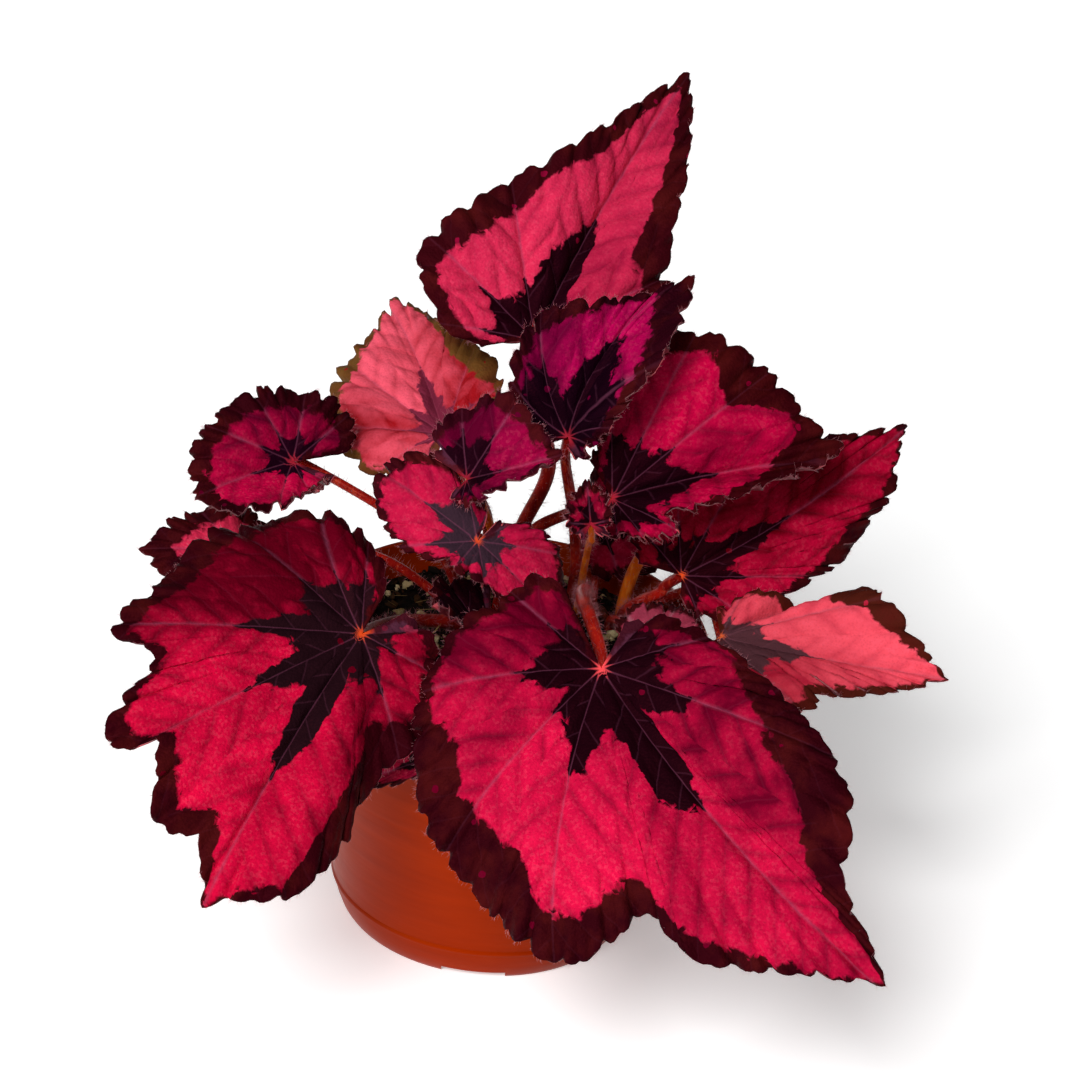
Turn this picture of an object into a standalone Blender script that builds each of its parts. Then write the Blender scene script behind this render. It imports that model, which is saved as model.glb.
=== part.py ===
"""Potted rex begonia with crimson, dark-rimmed leaves in a four inch nursery pot.

Every leaf is a thin lobed blade on a round leaf stalk (petiole). The stalks stand
in plain holes in the soil, round two short growing crowns. The pot's base centre
is the origin, +Z is up, and -Y is the side the plant shows to the viewer.
"""
import math

import bmesh
import bpy
import numpy as np
from mathutils import Matrix, Vector

MM = 0.001

# Pot, in millimetres
POT_HEIGHT = 85.0
RIM_RADIUS = 53.0
RIM_INNER_RADIUS = 51.0
RIM_BAND = 16.0
WALL_TOP_RADIUS = 51.9
RIDGE_RADIUS = 41.6
RIDGE_HEIGHT = 9.2
RIDGE_SIZE = 0.5
FOOT_RADIUS = 38.3
FOOT_INNER_RADIUS = 34.0
WALL = 1.6
FLOOR_TOP = 4.2
FLOOR_UNDERSIDE = 2.2
CENTRE_DISC_RADIUS = 11.0
DRAIN_HOLE_RADIUS = 3.5
DRAIN_CIRCLE_RADIUS = 22.5
DRAIN_HOLES = 6
DRAIN_TURN = 20.0
FOOT_NOTCHES = 4
NOTCH_WIDTH = 17.0
NOTCH_HEIGHT = 2.0
POT_STEPS = 40
CUT_DEPTH = 30.0

# Soil and what stands in it
SOIL_TOP = 76.0
SOIL_RIPPLE = 1.3
SOIL_STEPS = 26
GAP = 0.3
STALK_DEPTH = 11.0
STALK_TAPER = 0.22
STALK_HOLE = 1.06
STALK_SEAT = 0.35
CROWN_RADIUS = 3.6
CROWN_RISE = 1.25
CROWN_SQUEEZE = 0.93
CROWN_SINK = 0.5
CROWN_KNOB = 0.07

# Leaves
BLADE_THICKNESS = 0.8
TIP_SPREAD = 7.0
ROW_SPACING = 0.85
EDGE_SAMPLES = 361
RIB_SAMPLES = 40

for old in list(bpy.data.objects):
    bpy.data.objects.remove(old, do_unlink=True)

plant = bpy.data.collections.new("potted_red_robin_rex_begonia")
bpy.context.scene.collection.children.link(plant)
cutters = bpy.data.collections.new("cutters")
bpy.context.scene.collection.children.link(cutters)


def new_material(name, color, roughness, metallic=0.0):
    material = bpy.data.materials.new(name)
    material.use_nodes = True
    shader = material.node_tree.nodes["Principled BSDF"]
    shader.inputs["Base Color"].default_value = (*color, 1.0)
    shader.inputs["Roughness"].default_value = roughness
    shader.inputs["Metallic"].default_value = metallic
    return material


def new_object(name, mesh, material):
    body = bpy.data.objects.new(name, mesh)
    plant.objects.link(body)
    mesh.materials.append(material)
    return body


def new_cutter(name, bm):
    mesh = bpy.data.meshes.new(name)
    bm.to_mesh(mesh)
    bm.free()
    body = bpy.data.objects.new(name, mesh)
    cutters.objects.link(body)
    body.hide_render = True
    body.display_type = "WIRE"
    return body


def subtract(body, cutter):
    cut = body.modifiers.new("cut " + cutter.name, "BOOLEAN")
    cut.operation = "DIFFERENCE"
    cut.solver = "EXACT"
    cut.object = cutter


def turned(name, profile, steps, material):
    """A profile of (radius, height) in mm turned about Z."""
    mesh = bpy.data.meshes.new(name)
    points = [(r * MM, 0.0, z * MM) for r, z in profile]
    edges = [(i, i + 1) for i in range(len(points) - 1)]
    mesh.from_pydata(points, edges, [])
    body = new_object(name, mesh, material)
    screw = body.modifiers.new("turn", "SCREW")
    screw.steps = steps
    screw.render_steps = steps
    screw.use_merge_vertices = True
    screw.merge_threshold = 0.00001
    screw.use_normal_calculate = True
    return body


def wall_radius(height):
    """Outer radius in mm of the tapering wall between the ridge and the band."""
    part = (height - RIDGE_HEIGHT) / (POT_HEIGHT - RIM_BAND - RIDGE_HEIGHT)
    return RIDGE_RADIUS + (WALL_TOP_RADIUS - RIDGE_RADIUS) * part


# Pot: a thin tapered shell with a band round the rim, a fine ridge near the foot,
# a foot ring with drain notches and a floor that stands on its flat centre disc.
band_bottom = POT_HEIGHT - RIM_BAND
pot_profile = [
    (0.0, FLOOR_TOP),
    (37.0, FLOOR_TOP),
    (39.2, 6.0),
    (wall_radius(RIDGE_HEIGHT) - WALL, 9.0),
    (wall_radius(band_bottom) - WALL, band_bottom),
    (RIM_INNER_RADIUS, band_bottom + 1.5),
    (RIM_INNER_RADIUS + 0.3, POT_HEIGHT - 0.6),
    (RIM_INNER_RADIUS + 0.7, POT_HEIGHT),
    (RIM_RADIUS - 0.5, POT_HEIGHT),
    (RIM_RADIUS, POT_HEIGHT - 0.6),
    (RIM_RADIUS - 0.3, band_bottom + 0.5),
    (RIM_RADIUS - 0.6, band_bottom),
    (wall_radius(band_bottom), band_bottom - 0.3),
    (wall_radius(RIDGE_HEIGHT + 0.8), RIDGE_HEIGHT + 0.8),
    (RIDGE_RADIUS + RIDGE_SIZE, RIDGE_HEIGHT + 0.3),
    (RIDGE_RADIUS + RIDGE_SIZE, RIDGE_HEIGHT - 0.3),
    (RIDGE_RADIUS - 0.4, RIDGE_HEIGHT - 0.9),
    (40.4, 4.5),
    (39.2, 1.5),
    (FOOT_RADIUS, 0.0),
    (FOOT_INNER_RADIUS, 0.0),
    (FOOT_INNER_RADIUS - 0.4, FLOOR_UNDERSIDE),
    (CENTRE_DISC_RADIUS + 0.4, FLOOR_UNDERSIDE),
    (CENTRE_DISC_RADIUS, 0.0),
    (0.0, 0.0),
]
terracotta = new_material("terracotta coloured plastic", (0.456, 0.069, 0.013), 0.38)
pot = turned("pot", pot_profile, POT_STEPS, terracotta)

bm = bmesh.new()
for k in range(DRAIN_HOLES):
    angle = math.radians(360.0 / DRAIN_HOLES * k + DRAIN_TURN)
    made = bmesh.ops.create_cone(bm, cap_ends=True, segments=12, radius1=DRAIN_HOLE_RADIUS * MM,
                                 radius2=DRAIN_HOLE_RADIUS * MM, depth=2.0 * FLOOR_TOP * MM)
    spot = (DRAIN_CIRCLE_RADIUS * math.cos(angle) * MM, DRAIN_CIRCLE_RADIUS * math.sin(angle) * MM,
            FLOOR_UNDERSIDE * MM)
    bmesh.ops.translate(bm, verts=made["verts"], vec=spot)
subtract(pot, new_cutter("drain_holes", bm))

bm = bmesh.new()
for k in range(FOOT_NOTCHES):
    angle = 2.0 * math.pi / FOOT_NOTCHES * k - math.pi / 2.0
    made = bmesh.ops.create_cube(bm, size=1.0)
    across = 2.0 * (RIDGE_RADIUS - FOOT_INNER_RADIUS)
    bmesh.ops.scale(bm, verts=made["verts"], vec=(across * MM, NOTCH_WIDTH * MM, 2.0 * NOTCH_HEIGHT * MM))
    bmesh.ops.translate(bm, verts=made["verts"], vec=(FOOT_RADIUS * MM, 0.0, 0.0))
    bmesh.ops.rotate(bm, verts=made["verts"], cent=(0.0, 0.0, 0.0), matrix=Matrix.Rotation(angle, 3, "Z"))
subtract(pot, new_cutter("foot_notches", bm))

# Soil: fills the pot to a little under the rim. Its top is uneven.
soil_profile = [(0.0, SOIL_TOP)]
for radius in (10.0, 21.0, 32.0, 42.0):
    soil_profile.append((radius, SOIL_TOP))
soil_profile += [
    (RIM_INNER_RADIUS - GAP, SOIL_TOP - 1.0),
    (RIM_INNER_RADIUS - GAP, band_bottom + 2.2),
    (wall_radius(band_bottom) - WALL - GAP, band_bottom - 0.5),
    (wall_radius(RIDGE_HEIGHT) - WALL - GAP, 9.0),
    (38.6, 6.0 + GAP),
    (36.8, FLOOR_TOP + GAP),
    (0.0, FLOOR_TOP + GAP),
]


def soil_height(x, y):
    """Height in mm of the uneven soil top over the point x, y in mm."""
    ripple = math.sin(0.21 * x + 0.6) * math.cos(0.17 * y - 0.4)
    ripple += 0.5 * math.sin(0.43 * y + 1.1) * math.cos(0.37 * x)
    fade = max(0.0, 1.0 - (math.hypot(x, y) / 50.0) ** 4)
    return SOIL_TOP + SOIL_RIPPLE * ripple * fade


potting_mix = new_material("peat and perlite potting mix", (0.018, 0.012, 0.009), 0.95)
soil = turned("soil", soil_profile, SOIL_STEPS, potting_mix)
depsgraph = bpy.context.evaluated_depsgraph_get()
soil_mesh = bpy.data.meshes.new_from_object(soil.evaluated_get(depsgraph))
soil.modifiers.clear()
soil.data = soil_mesh
for vertex in soil_mesh.vertices:
    if vertex.co.z > (SOIL_TOP - 0.5) * MM:
        vertex.co.z = soil_height(vertex.co.x / MM, vertex.co.y / MM) * MM


def smooth_through(xs, ys, at):
    """A curve through the points that never overshoots them, read at the values of at."""
    xs = np.array(xs, dtype=float)
    ys = np.array(ys, dtype=float)
    step = np.diff(xs)
    rise = np.diff(ys) / step
    tangent = np.zeros(len(xs))
    tangent[0] = rise[0]
    tangent[-1] = rise[-1]
    for i in range(1, len(xs) - 1):
        if rise[i - 1] * rise[i] > 0.0:
            tangent[i] = 2.0 * rise[i - 1] * rise[i] / (rise[i - 1] + rise[i])
    i = np.clip(np.searchsorted(xs, at) - 1, 0, len(xs) - 2)
    u = (at - xs[i]) / step[i]
    value = (2 * u**3 - 3 * u**2 + 1) * ys[i] + (u**3 - 2 * u**2 + u) * step[i] * tangent[i]
    return value + (-2 * u**3 + 3 * u**2) * ys[i + 1] + (u**3 - u**2) * step[i] * tangent[i + 1]


def blade_points(ribs, columns, rows, point, tooth, wave, waves, sweep):
    """Points in mm of a blade: one column for each place along its edge, from the seat out.

    Each rib is (angle from the tip direction, reach to the edge, slope at the seat,
    further slope gained up to the edge). The drawn-out tip adds point mm at angle 0,
    and every second column ends on a tooth.
    """
    angles = [rib[0] for rib in ribs]

    def reach_at(at):
        return smooth_through(angles, [rib[1] for rib in ribs], at) + point * np.exp(-np.abs(at) / TIP_SPREAD)

    right = np.linspace(angles[0], 0.0, EDGE_SAMPLES)
    left = np.linspace(0.0, angles[-1], EDGE_SAMPLES)
    lengths = []
    for side in (right, left):
        x = reach_at(side) * np.cos(np.radians(side))
        y = reach_at(side) * np.sin(np.radians(side))
        lengths.append(np.concatenate([[0.0], np.cumsum(np.hypot(np.diff(x), np.diff(y)))]))
    whole = lengths[0][-1] + lengths[1][-1]
    right_columns = 2 * round(columns / 2 * lengths[0][-1] / whole) + 1
    left_columns = columns - right_columns
    angle = np.interp(np.linspace(0.0, lengths[0][-1], right_columns + 1), lengths[0], right)
    more = np.interp(np.linspace(0.0, lengths[1][-1], left_columns + 1), lengths[1], left)
    angle = np.concatenate([angle, more[1:]])
    toothed = np.where(np.arange(columns + 1) % 2 == 0, -0.5, 0.5)
    reach = reach_at(angle) + tooth * toothed
    slope = smooth_through(angles, [rib[2] for rib in ribs], angle)
    curl = smooth_through(angles, [rib[3] for rib in ribs], angle)
    part = (angle - angles[0]) / (angles[-1] - angles[0])
    points = np.zeros((columns + 1, rows + 1, 3))
    samples = np.linspace(0.0, 1.0, RIB_SAMPLES + 1)
    lean = np.radians(slope[:, None] + curl[:, None] * samples[None, :] ** 2)
    middle = 0.5 * (lean[:, 1:] + lean[:, :-1])
    start = np.zeros((columns + 1, 1))
    out = np.concatenate([start, np.cumsum(np.cos(middle), axis=1)], axis=1) * reach[:, None] / RIB_SAMPLES
    up = np.concatenate([start, np.cumsum(np.sin(middle), axis=1)], axis=1) * reach[:, None] / RIB_SAMPLES
    for row in range(rows + 1):
        s = (row / rows) ** ROW_SPACING
        place = s * RIB_SAMPLES
        k = min(int(place), RIB_SAMPLES - 1)
        f = place - k
        r = out[:, k] * (1.0 - f) + out[:, k + 1] * f
        z = up[:, k] * (1.0 - f) + up[:, k + 1] * f
        a = np.radians(angle + sweep * (1.0 - s))
        points[:, row, 0] = r * np.cos(a)
        points[:, row, 1] = r * np.sin(a)
        points[:, row, 2] = z + wave * np.sin(2.0 * math.pi * waves * part) * s**3
    return points


def add_blade(name, seat, heading, pitch, roll, ribs, material, columns=30, rows=4,
              point=0.0, tooth=1.4, wave=0.8, waves=5, sweep=0.0):
    """A blade whose seat, where its stalk meets it, is at seat and whose tip points along heading."""
    points = blade_points(ribs, columns, rows, point, tooth, wave, waves, sweep)
    bm = bmesh.new()
    bmesh.ops.create_grid(bm, x_segments=columns, y_segments=rows, size=0.5)
    for vert in bm.verts:
        column = round((vert.co.x + 0.5) * columns)
        row = round((vert.co.y + 0.5) * rows)
        vert.co = points[column, row] * MM
    bmesh.ops.remove_doubles(bm, verts=bm.verts, dist=0.000001)
    bmesh.ops.triangulate(bm, faces=bm.faces)
    mesh = bpy.data.meshes.new(name)
    bm.to_mesh(mesh)
    bm.free()
    mesh.shade_smooth()
    blade = new_object(name, mesh, material)
    blade.location = Vector(seat) * MM
    blade.rotation_euler = (math.radians(roll), math.radians(-pitch), math.radians(heading))
    solid = blade.modifiers.new("thickness", "SOLIDIFY")
    solid.thickness = BLADE_THICKNESS * MM
    solid.offset = 0.0
    solid.use_even_offset = True
    return blade


def add_stalk(name, foot, via, blade, thick, material, approach=(-0.6, 0.0, -0.8), drop=0.0):
    """A stalk from its hole in the soil at foot, past the via points, to under the blade's seat."""
    radius = thick / 2.0
    turn = blade.rotation_euler.to_matrix()
    seat = np.array(blade.location) / MM
    down = np.array(turn @ Vector((0.0, 0.0, -1.0)))
    arrive = np.array(turn @ Vector(approach))
    arrive = arrive / np.linalg.norm(arrive)
    end = seat + down * (BLADE_THICKNESS / 2.0 + GAP + radius * STALK_SEAT + drop)
    top = soil_height(*foot)
    way = [(*foot, SOIL_TOP - STALK_DEPTH), (*foot, top - 1.0), (*foot, top + 2.5)]
    way += list(via)
    way += [tuple(end + arrive * 7.0 + down * 2.0), tuple(end)]
    way = np.array(way, dtype=float)
    steps = np.concatenate([[0.0], np.cumsum(np.sqrt(np.linalg.norm(np.diff(way, axis=0), axis=1)))])
    spots = list(steps[:3])
    for i in range(2, len(steps) - 1):
        count = 3 if i < len(steps) - 2 else 2
        spots += list(np.linspace(steps[i], steps[i + 1], count + 1)[1:])
    spots = np.array(spots)
    points = np.zeros((len(spots), 3))
    for axis in range(3):
        tangent = np.gradient(way[:, axis], steps)
        i = np.clip(np.searchsorted(steps, spots) - 1, 0, len(steps) - 2)
        h = steps[i + 1] - steps[i]
        u = (spots - steps[i]) / h
        value = (2 * u**3 - 3 * u**2 + 1) * way[i, axis] + (u**3 - 2 * u**2 + u) * h * tangent[i]
        value += (-2 * u**3 + 3 * u**2) * way[i + 1, axis] + (u**3 - u**2) * h * tangent[i + 1]
        points[:, axis] = value
    points[:3] = way[:3]
    curve = bpy.data.curves.new(name, "CURVE")
    curve.dimensions = "3D"
    curve.bevel_depth = radius * MM
    curve.bevel_resolution = 2
    curve.use_fill_caps = True
    spline = curve.splines.new("POLY")
    spline.points.add(len(points) - 1)
    for i, point in enumerate(points):
        part = i / (len(points) - 1)
        spline.points[i].co = (*(point * MM), 1.0)
        spline.points[i].radius = 1.0 - STALK_TAPER * part
    stalk = new_object(name, curve, material)
    bm = bmesh.new()
    bore = (radius * STALK_HOLE + GAP) * MM
    made = bmesh.ops.create_cone(bm, cap_ends=True, segments=10, radius1=bore, radius2=bore,
                                 depth=CUT_DEPTH * MM)
    base = (SOIL_TOP - STALK_DEPTH - GAP + CUT_DEPTH / 2.0) * MM
    bmesh.ops.translate(bm, verts=made["verts"], vec=(foot[0] * MM, foot[1] * MM, base))
    subtract(soil, new_cutter(name + "_hole", bm))
    return stalk


def add_crown(name, spot, material):
    """A short knobbly growing crown, half sunk in its own hole in the soil."""
    bm = bmesh.new()
    bmesh.ops.create_uvsphere(bm, u_segments=12, v_segments=8, radius=CROWN_RADIUS * MM)
    for vert in bm.verts:
        knob = 1.0 + CROWN_KNOB * math.sin(5.0 * vert.co.x / MM + 1.0) * math.cos(4.0 * vert.co.y / MM)
        vert.co.x *= knob * CROWN_SQUEEZE
        vert.co.y *= knob * CROWN_SQUEEZE
        vert.co.z *= CROWN_RISE
    bmesh.ops.triangulate(bm, faces=bm.faces)
    mesh = bpy.data.meshes.new(name)
    bm.to_mesh(mesh)
    bm.free()
    mesh.shade_smooth()
    crown = new_object(name, mesh, material)
    crown.location = (spot[0] * MM, spot[1] * MM, (SOIL_TOP - CROWN_SINK) * MM)
    bm = bmesh.new()
    bore = (CROWN_RADIUS * 1.01 + GAP) * MM
    made = bmesh.ops.create_cone(bm, cap_ends=True, segments=16, radius1=bore, radius2=bore,
                                 depth=CUT_DEPTH * MM)
    base = (SOIL_TOP - CROWN_SINK - CROWN_RADIUS * CROWN_RISE - GAP + CUT_DEPTH / 2.0) * MM
    bmesh.ops.translate(bm, verts=made["verts"], vec=(spot[0] * MM, spot[1] * MM, base))
    subtract(soil, new_cutter(name + "_hole", bm))
    return crown


crimson = new_material("crimson begonia leaf", (0.50, 0.012, 0.052), 0.42)
dusky = new_material("dusky red begonia leaf", (0.22, 0.012, 0.03), 0.45)
stalk_red = new_material("dark red leaf stalk", (0.26, 0.012, 0.008), 0.4)
stalk_orange = new_material("orange leaf stalk", (0.55, 0.12, 0.012), 0.4)
bark_brown = new_material("brown crown tissue", (0.12, 0.045, 0.02), 0.7)

# The two crowns that the stalks stand round.
add_crown("crown_right", (23.0, 26.0), bark_brown)
add_crown("crown_left", (-7.0, 14.0), bark_brown)

# Leaf 1: the topmost leaf, its pointed tip up and to the right.
blade = add_blade("leaf_01_blade", (-1, 25, 156), 57, 44, 32, [
    (-150, 12, 10, 0), (-120, 22, 15, -10), (-90, 30, 20, -15), (-60, 34, 20, -20), (-34, 38, 16, -20),
    (-19, 48, 10, -15), (-12, 58, 6, -12), (0, 72, 0, -12), (13, 57, 6, -15), (31, 45, 10, -20),
    (59, 39, 12, -25), (82, 38, 12, -30), (98, 31, 12, -25), (115, 23, 10, -15), (130, 14, 8, 0)],
    crimson, columns=45, point=16, wave=1.4, waves=7)
add_stalk("leaf_01_petiole", (-3.4, 20.2), [(0, 24, 100), (6, 27, 120)], blade, 4.2, stalk_red)

# Leaf 2: folded along its midrib, at the plant's upper centre.
blade = add_blade("leaf_02_blade", (10, -6, 144), 39, 47, 45, [
    (-140, 5, 20, 0), (-105, 7, 25, 5), (-70, 8, 30, 10), (-45, 12, 35, 10), (-22, 22, 40, 5),
    (-9, 34, 20, 0), (0, 42, 0, -8), (12, 38, 2, -10), (25, 35, 5, -15), (49, 32, 8, -20),
    (68, 26, 10, -20), (88, 19, 12, -15), (110, 14, 10, -5), (140, 8, 8, 0)],
    crimson, columns=37, point=10, wave=1.0, waves=7, sweep=16)
add_stalk("leaf_02_petiole", (15.8, 26.0), [(16, 22, 92), (14, 12, 112)],
          blade, 3.4, stalk_red, approach=(-0.5, -0.35, -0.7))

# Leaf 3: nearly level, upper left, catching the light.
blade = add_blade("leaf_03_blade", (-22, 15, 131), 111, 17, -24, [
    (-150, 8, 12, 0), (-110, 14, 14, -15), (-74, 18, 14, -25), (-56, 23, 12, -25), (-33, 30, 8, -22),
    (-17, 39, 4, -20), (0, 50, 0, -18), (12, 45, 2, -20), (23, 43, 6, -25), (43, 36, 10, -30),
    (60, 30, 10, -35), (77, 26, 12, -40), (95, 21, 10, -50), (120, 16, 8, -40), (150, 10, 6, 0)],
    crimson, columns=35, point=12, wave=1.2, waves=6)
add_stalk("leaf_03_petiole", (-8.3, 21.1), [(-9, 24, 104)], blade, 3.2, stalk_red)

# Leaf 4: far left, its lower half folded up and over.
blade = add_blade("leaf_04_blade", (-60, 4, 124), -148, -12, -57, [
    (-190, 14, 8, -5), (-163, 19, 12, -15), (-140, 19, 14, -20), (-121, 18, 12, -25), (-102, 19, 10, -30),
    (-78, 21, 8, -35), (-50, 23, 6, -35), (-30, 26, 6, -30), (-9, 27, 6, -20), (5, 28, 10, -5),
    (25, 25, 25, 30), (50, 21, 32, 60), (80, 18, 35, 75), (110, 16, 35, 70), (135, 12, 25, 40)],
    crimson, columns=37, rows=5, wave=1.0, waves=7)
add_stalk("leaf_04_petiole", (-13.2, 17.6), [(-22, 13, 100), (-38, 7, 113)], blade, 2.8, stalk_red)

# Leaf 5: a small cupped leaf near the middle.
blade = add_blade("leaf_05_blade", (-14, -14, 133), -19, 29, 75, [
    (-150, 5, 30, 0), (-110, 7, 45, -10), (-57, 10, 50, -20), (-30, 14, 50, -25), (-12, 19, 30, -15),
    (0, 24, 5, -10), (20, 25, 5, -15), (44, 25, 5, -20), (73, 18, 5, -20), (97, 16, 10, -10),
    (130, 9, 15, 0)], dusky, columns=25, rows=3, point=4, tooth=1.1, wave=0.8, waves=5)
add_stalk("leaf_05_petiole", (-0.2, 16.5), [(-6, 7, 106)], blade, 2.8, stalk_orange)

# Leaf 6: saddle shaped, a large lobe to the upper left and one to the lower right.
blade = add_blade("leaf_06_blade", (-10, -18, 118), 172, 25, -46, [
    (-80, 6, 20, 0), (-60, 10, 18, -5), (-43, 16, 15, -10), (-32, 24, 10, -15), (-15, 29, 5, -20),
    (0, 30, 2, -20), (9, 27, 0, -25), (23, 23, 0, -35), (36, 19, 0, -35), (52, 13, 5, -20),
    (75, 9, 8, -10), (120, 10, 5, -10), (150, 17, 0, -20), (172, 20, -2, -25), (189, 25, -2, -30),
    (204, 23, 0, -30), (220, 17, 5, -20), (240, 10, 10, -5), (255, 6, 12, 0)],
    crimson, columns=41, wave=0.8, waves=7)
add_stalk("leaf_06_petiole", (0.0, 12.1), [(5, 4, 96), (2, -8, 110)], blade, 2.8, stalk_red)

# Leaf 7: the large leaf hanging over the pot's left front.
blade = add_blade("leaf_07_blade", (-36, -42, 101), -114, -31, -27, [
    (-178, 12, 10, 0), (-160, 23, 12, -25), (-144, 31, 14, -45), (-127, 38, 12, -60), (-111, 43, 8, -65),
    (-95, 47, 10, -50), (-75, 51, 8, -35), (-58, 62, 6, -25), (-52, 52, 6, -20), (-34, 70, 4, -20),
    (-29, 60, 4, -15), (-16, 70, 2, -18), (-8, 63, 2, -15), (0, 67, 0, -12), (11, 70, 4, -20),
    (22, 56, 6, -25), (28, 43, 4, -25), (45, 33, 6, -20), (60, 31, 9, -20), (81, 24, 12, -20),
    (117, 17, 12, -10), (146, 12, 10, 0)], crimson, columns=57, point=13, wave=1.2, waves=9)
add_stalk("leaf_07_petiole", (-11.6, 8.5), [(-27, -9, 88)], blade, 4.0, stalk_red)

# Leaf 8: the largest leaf, hanging over the pot's right front.
blade = add_blade("leaf_08_blade", (24, -52, 104), -44, -20, 42, [
    (-196, 23, 14, 0), (-181, 29, 18, -10), (-163, 30, 22, -20), (-145, 37, 24, -24), (-128, 42, 22, -24),
    (-108, 49, 18, -26), (-87, 58, 12, -30), (-73, 62, 10, -30), (-60, 68, 8, -28), (-47, 74, 6, -25),
    (-36, 66, 6, -22), (-29, 62, 5, -20), (-22, 77, 4, -20), (-15, 82, 2, -18), (-9, 86, 2, -15),
    (0, 90, 0, -12), (6, 76, 4, -15), (15, 74, 8, -20), (24, 65, 12, -22), (32, 52, 14, -25),
    (43, 40, 15, -25), (57, 30, 13, -22), (78, 22, 9, -15), (110, 12, 6, 0)],
    crimson, columns=65, point=14, wave=1.4, waves=9)
add_stalk("leaf_08_petiole", (21.7, 18.9), [(19.5, 8, 93), (18.2, -14, 103), (20.5, -33, 107)],
          blade, 4.2, stalk_red, approach=(-0.75, 0.35, -0.35))

# Leaf 9: upper right, its front edge curled up and parted by a notch.
blade = add_blade("leaf_09_blade", (23, -2, 126), 2, 20, 64, [
    (-150, 8, 25, 0), (-115, 11, 35, 5), (-80, 13, 36, 20), (-58, 20, 34, 35), (-42, 27, 30, 42),
    (-33, 28, 28, 45), (-26, 20, 30, 25), (-18, 27, 28, 8), (-9, 38, 18, 5), (0, 53, 0, -10),
    (14, 52, 4, -18), (28, 51, 6, -22), (42, 50, 8, -25), (52, 47, 10, -25), (60, 44, 12, -25),
    (72, 32, 14, -20), (84, 19, 15, -10), (105, 11, 15, 0)],
    crimson, columns=45, point=7, wave=1.2, waves=7)
add_stalk("leaf_09_petiole", (4.2, 22.5), [(3, 20, 102), (13.5, 17.5, 111.5)], blade, 3.4, stalk_red)

# Leaf 10: right, below leaf 9, its pointed tip up and to the right.
blade = add_blade("leaf_10_blade", (43, -4, 107), 26, 31, 52, [
    (-125, 7, 12, 0), (-92, 13, 14, -10), (-70, 18, 14, -15), (-56, 21, 14, -20), (-45, 27, 12, -25),
    (-34, 35, 10, -25), (-26, 43, 8, -22), (-17, 50, 6, -20), (-10, 58, 4, -18), (0, 59, 0, -12),
    (6, 53, 2, -12), (16, 46, 4, -12), (32, 38, 6, -12), (52, 32, 8, -10), (76, 26, 8, -10),
    (104, 18, 8, 0), (130, 11, 8, 0)], crimson, columns=45, point=13, wave=1.2, waves=7)
add_stalk("leaf_10_petiole", (29.8, 23.5), [(34, 8, 92), (39, 2, 99)], blade, 3.6, stalk_red)

# Leaf 11: low on the right, wavy and nearly level.
blade = add_blade("leaf_11_blade", (54, -22, 100), -20, 8, 20, [
    (-120, 7, 8, 0), (-75, 12, 8, -10), (-50, 20, 6, -20), (-39, 34, 4, -25), (-31, 34, 4, -25),
    (-22, 30, 2, -20), (-13, 37, 0, -15), (0, 50, 0, -10), (8, 47, 4, -8), (17, 43, 12, -8),
    (25, 39, 13, -10), (34, 31, -5, -20), (44, 24, -6, -18), (57, 19, 10, -15), (85, 13, 8, -10),
    (115, 9, 8, 0)],
    crimson, columns=37, point=9, wave=2.0, waves=4)
add_stalk("leaf_11_petiole", (35.5, 27.0), [(50, 9, 96)],
          blade, 3.2, stalk_red, approach=(-0.2, 0.5, -0.8))

# Leaf 12: far left, mostly behind leaf 7.
blade = add_blade("leaf_12_blade", (-73, 2, 97), -170, 4, -35, [
    (-150, 8, 10, 0), (-110, 12, 10, -10), (-70, 14, 8, -15), (-40, 16, 6, -20), (-20, 19, 4, -20),
    (0, 21, 0, -15), (20, 20, 2, -20), (45, 17, 6, -25), (80, 14, 8, -20), (115, 12, 8, -10),
    (145, 8, 8, 0)], dusky, columns=27, rows=3, point=4, wave=0.8, waves=5)
add_stalk("leaf_12_petiole", (-14.1, 12.7), [(-34, 12, 94), (-55, 8, 98)], blade, 2.6, stalk_red)

# Leaf 13: a small leaf hanging over the front rim, below leaves 7 and 8.
blade = add_blade("leaf_13_blade", (-9, -59, 81), 164, -33, -76, [
    (-150, 4, 5, 0), (-110, 5, 5, -5), (-70, 7, 4, -10), (-45, 10, 4, -12), (-20, 20, 2, -12),
    (0, 32, 0, -10), (15, 14, 2, -10), (40, 6, 5, -5), (70, 4, 6, 0), (110, 3, 8, 0)],
    dusky, columns=25, rows=3, wave=0.8, waves=4)
add_stalk("leaf_13_petiole", (-2.4, 8.5), [(1.5, -14, 84), (1, -46, 89)],
          blade, 2.6, stalk_red, approach=(-0.61, -0.76, -0.23), drop=0.9)

# Leaf 14: a new cupped leaf low at the centre.
blade = add_blade("leaf_14_blade", (-4, -15, 87), -95, 10, 0, [
    (-165, 18, 45, 5), (-130, 20, 40, 5), (-90, 21, 36, 5), (-45, 20, 32, 0), (0, 22, 25, 0),
    (45, 20, 32, 0), (90, 21, 36, 5), (130, 20, 40, 5), (165, 18, 45, 5)],
    dusky, columns=27, rows=3, tooth=1.0, wave=1.0, waves=6)
add_stalk("leaf_14_petiole", (-7.0, 6.8), [(-7, -4, 81)],
          blade, 2.6, stalk_red, approach=(-0.5, 0.0, -0.85))

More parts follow.
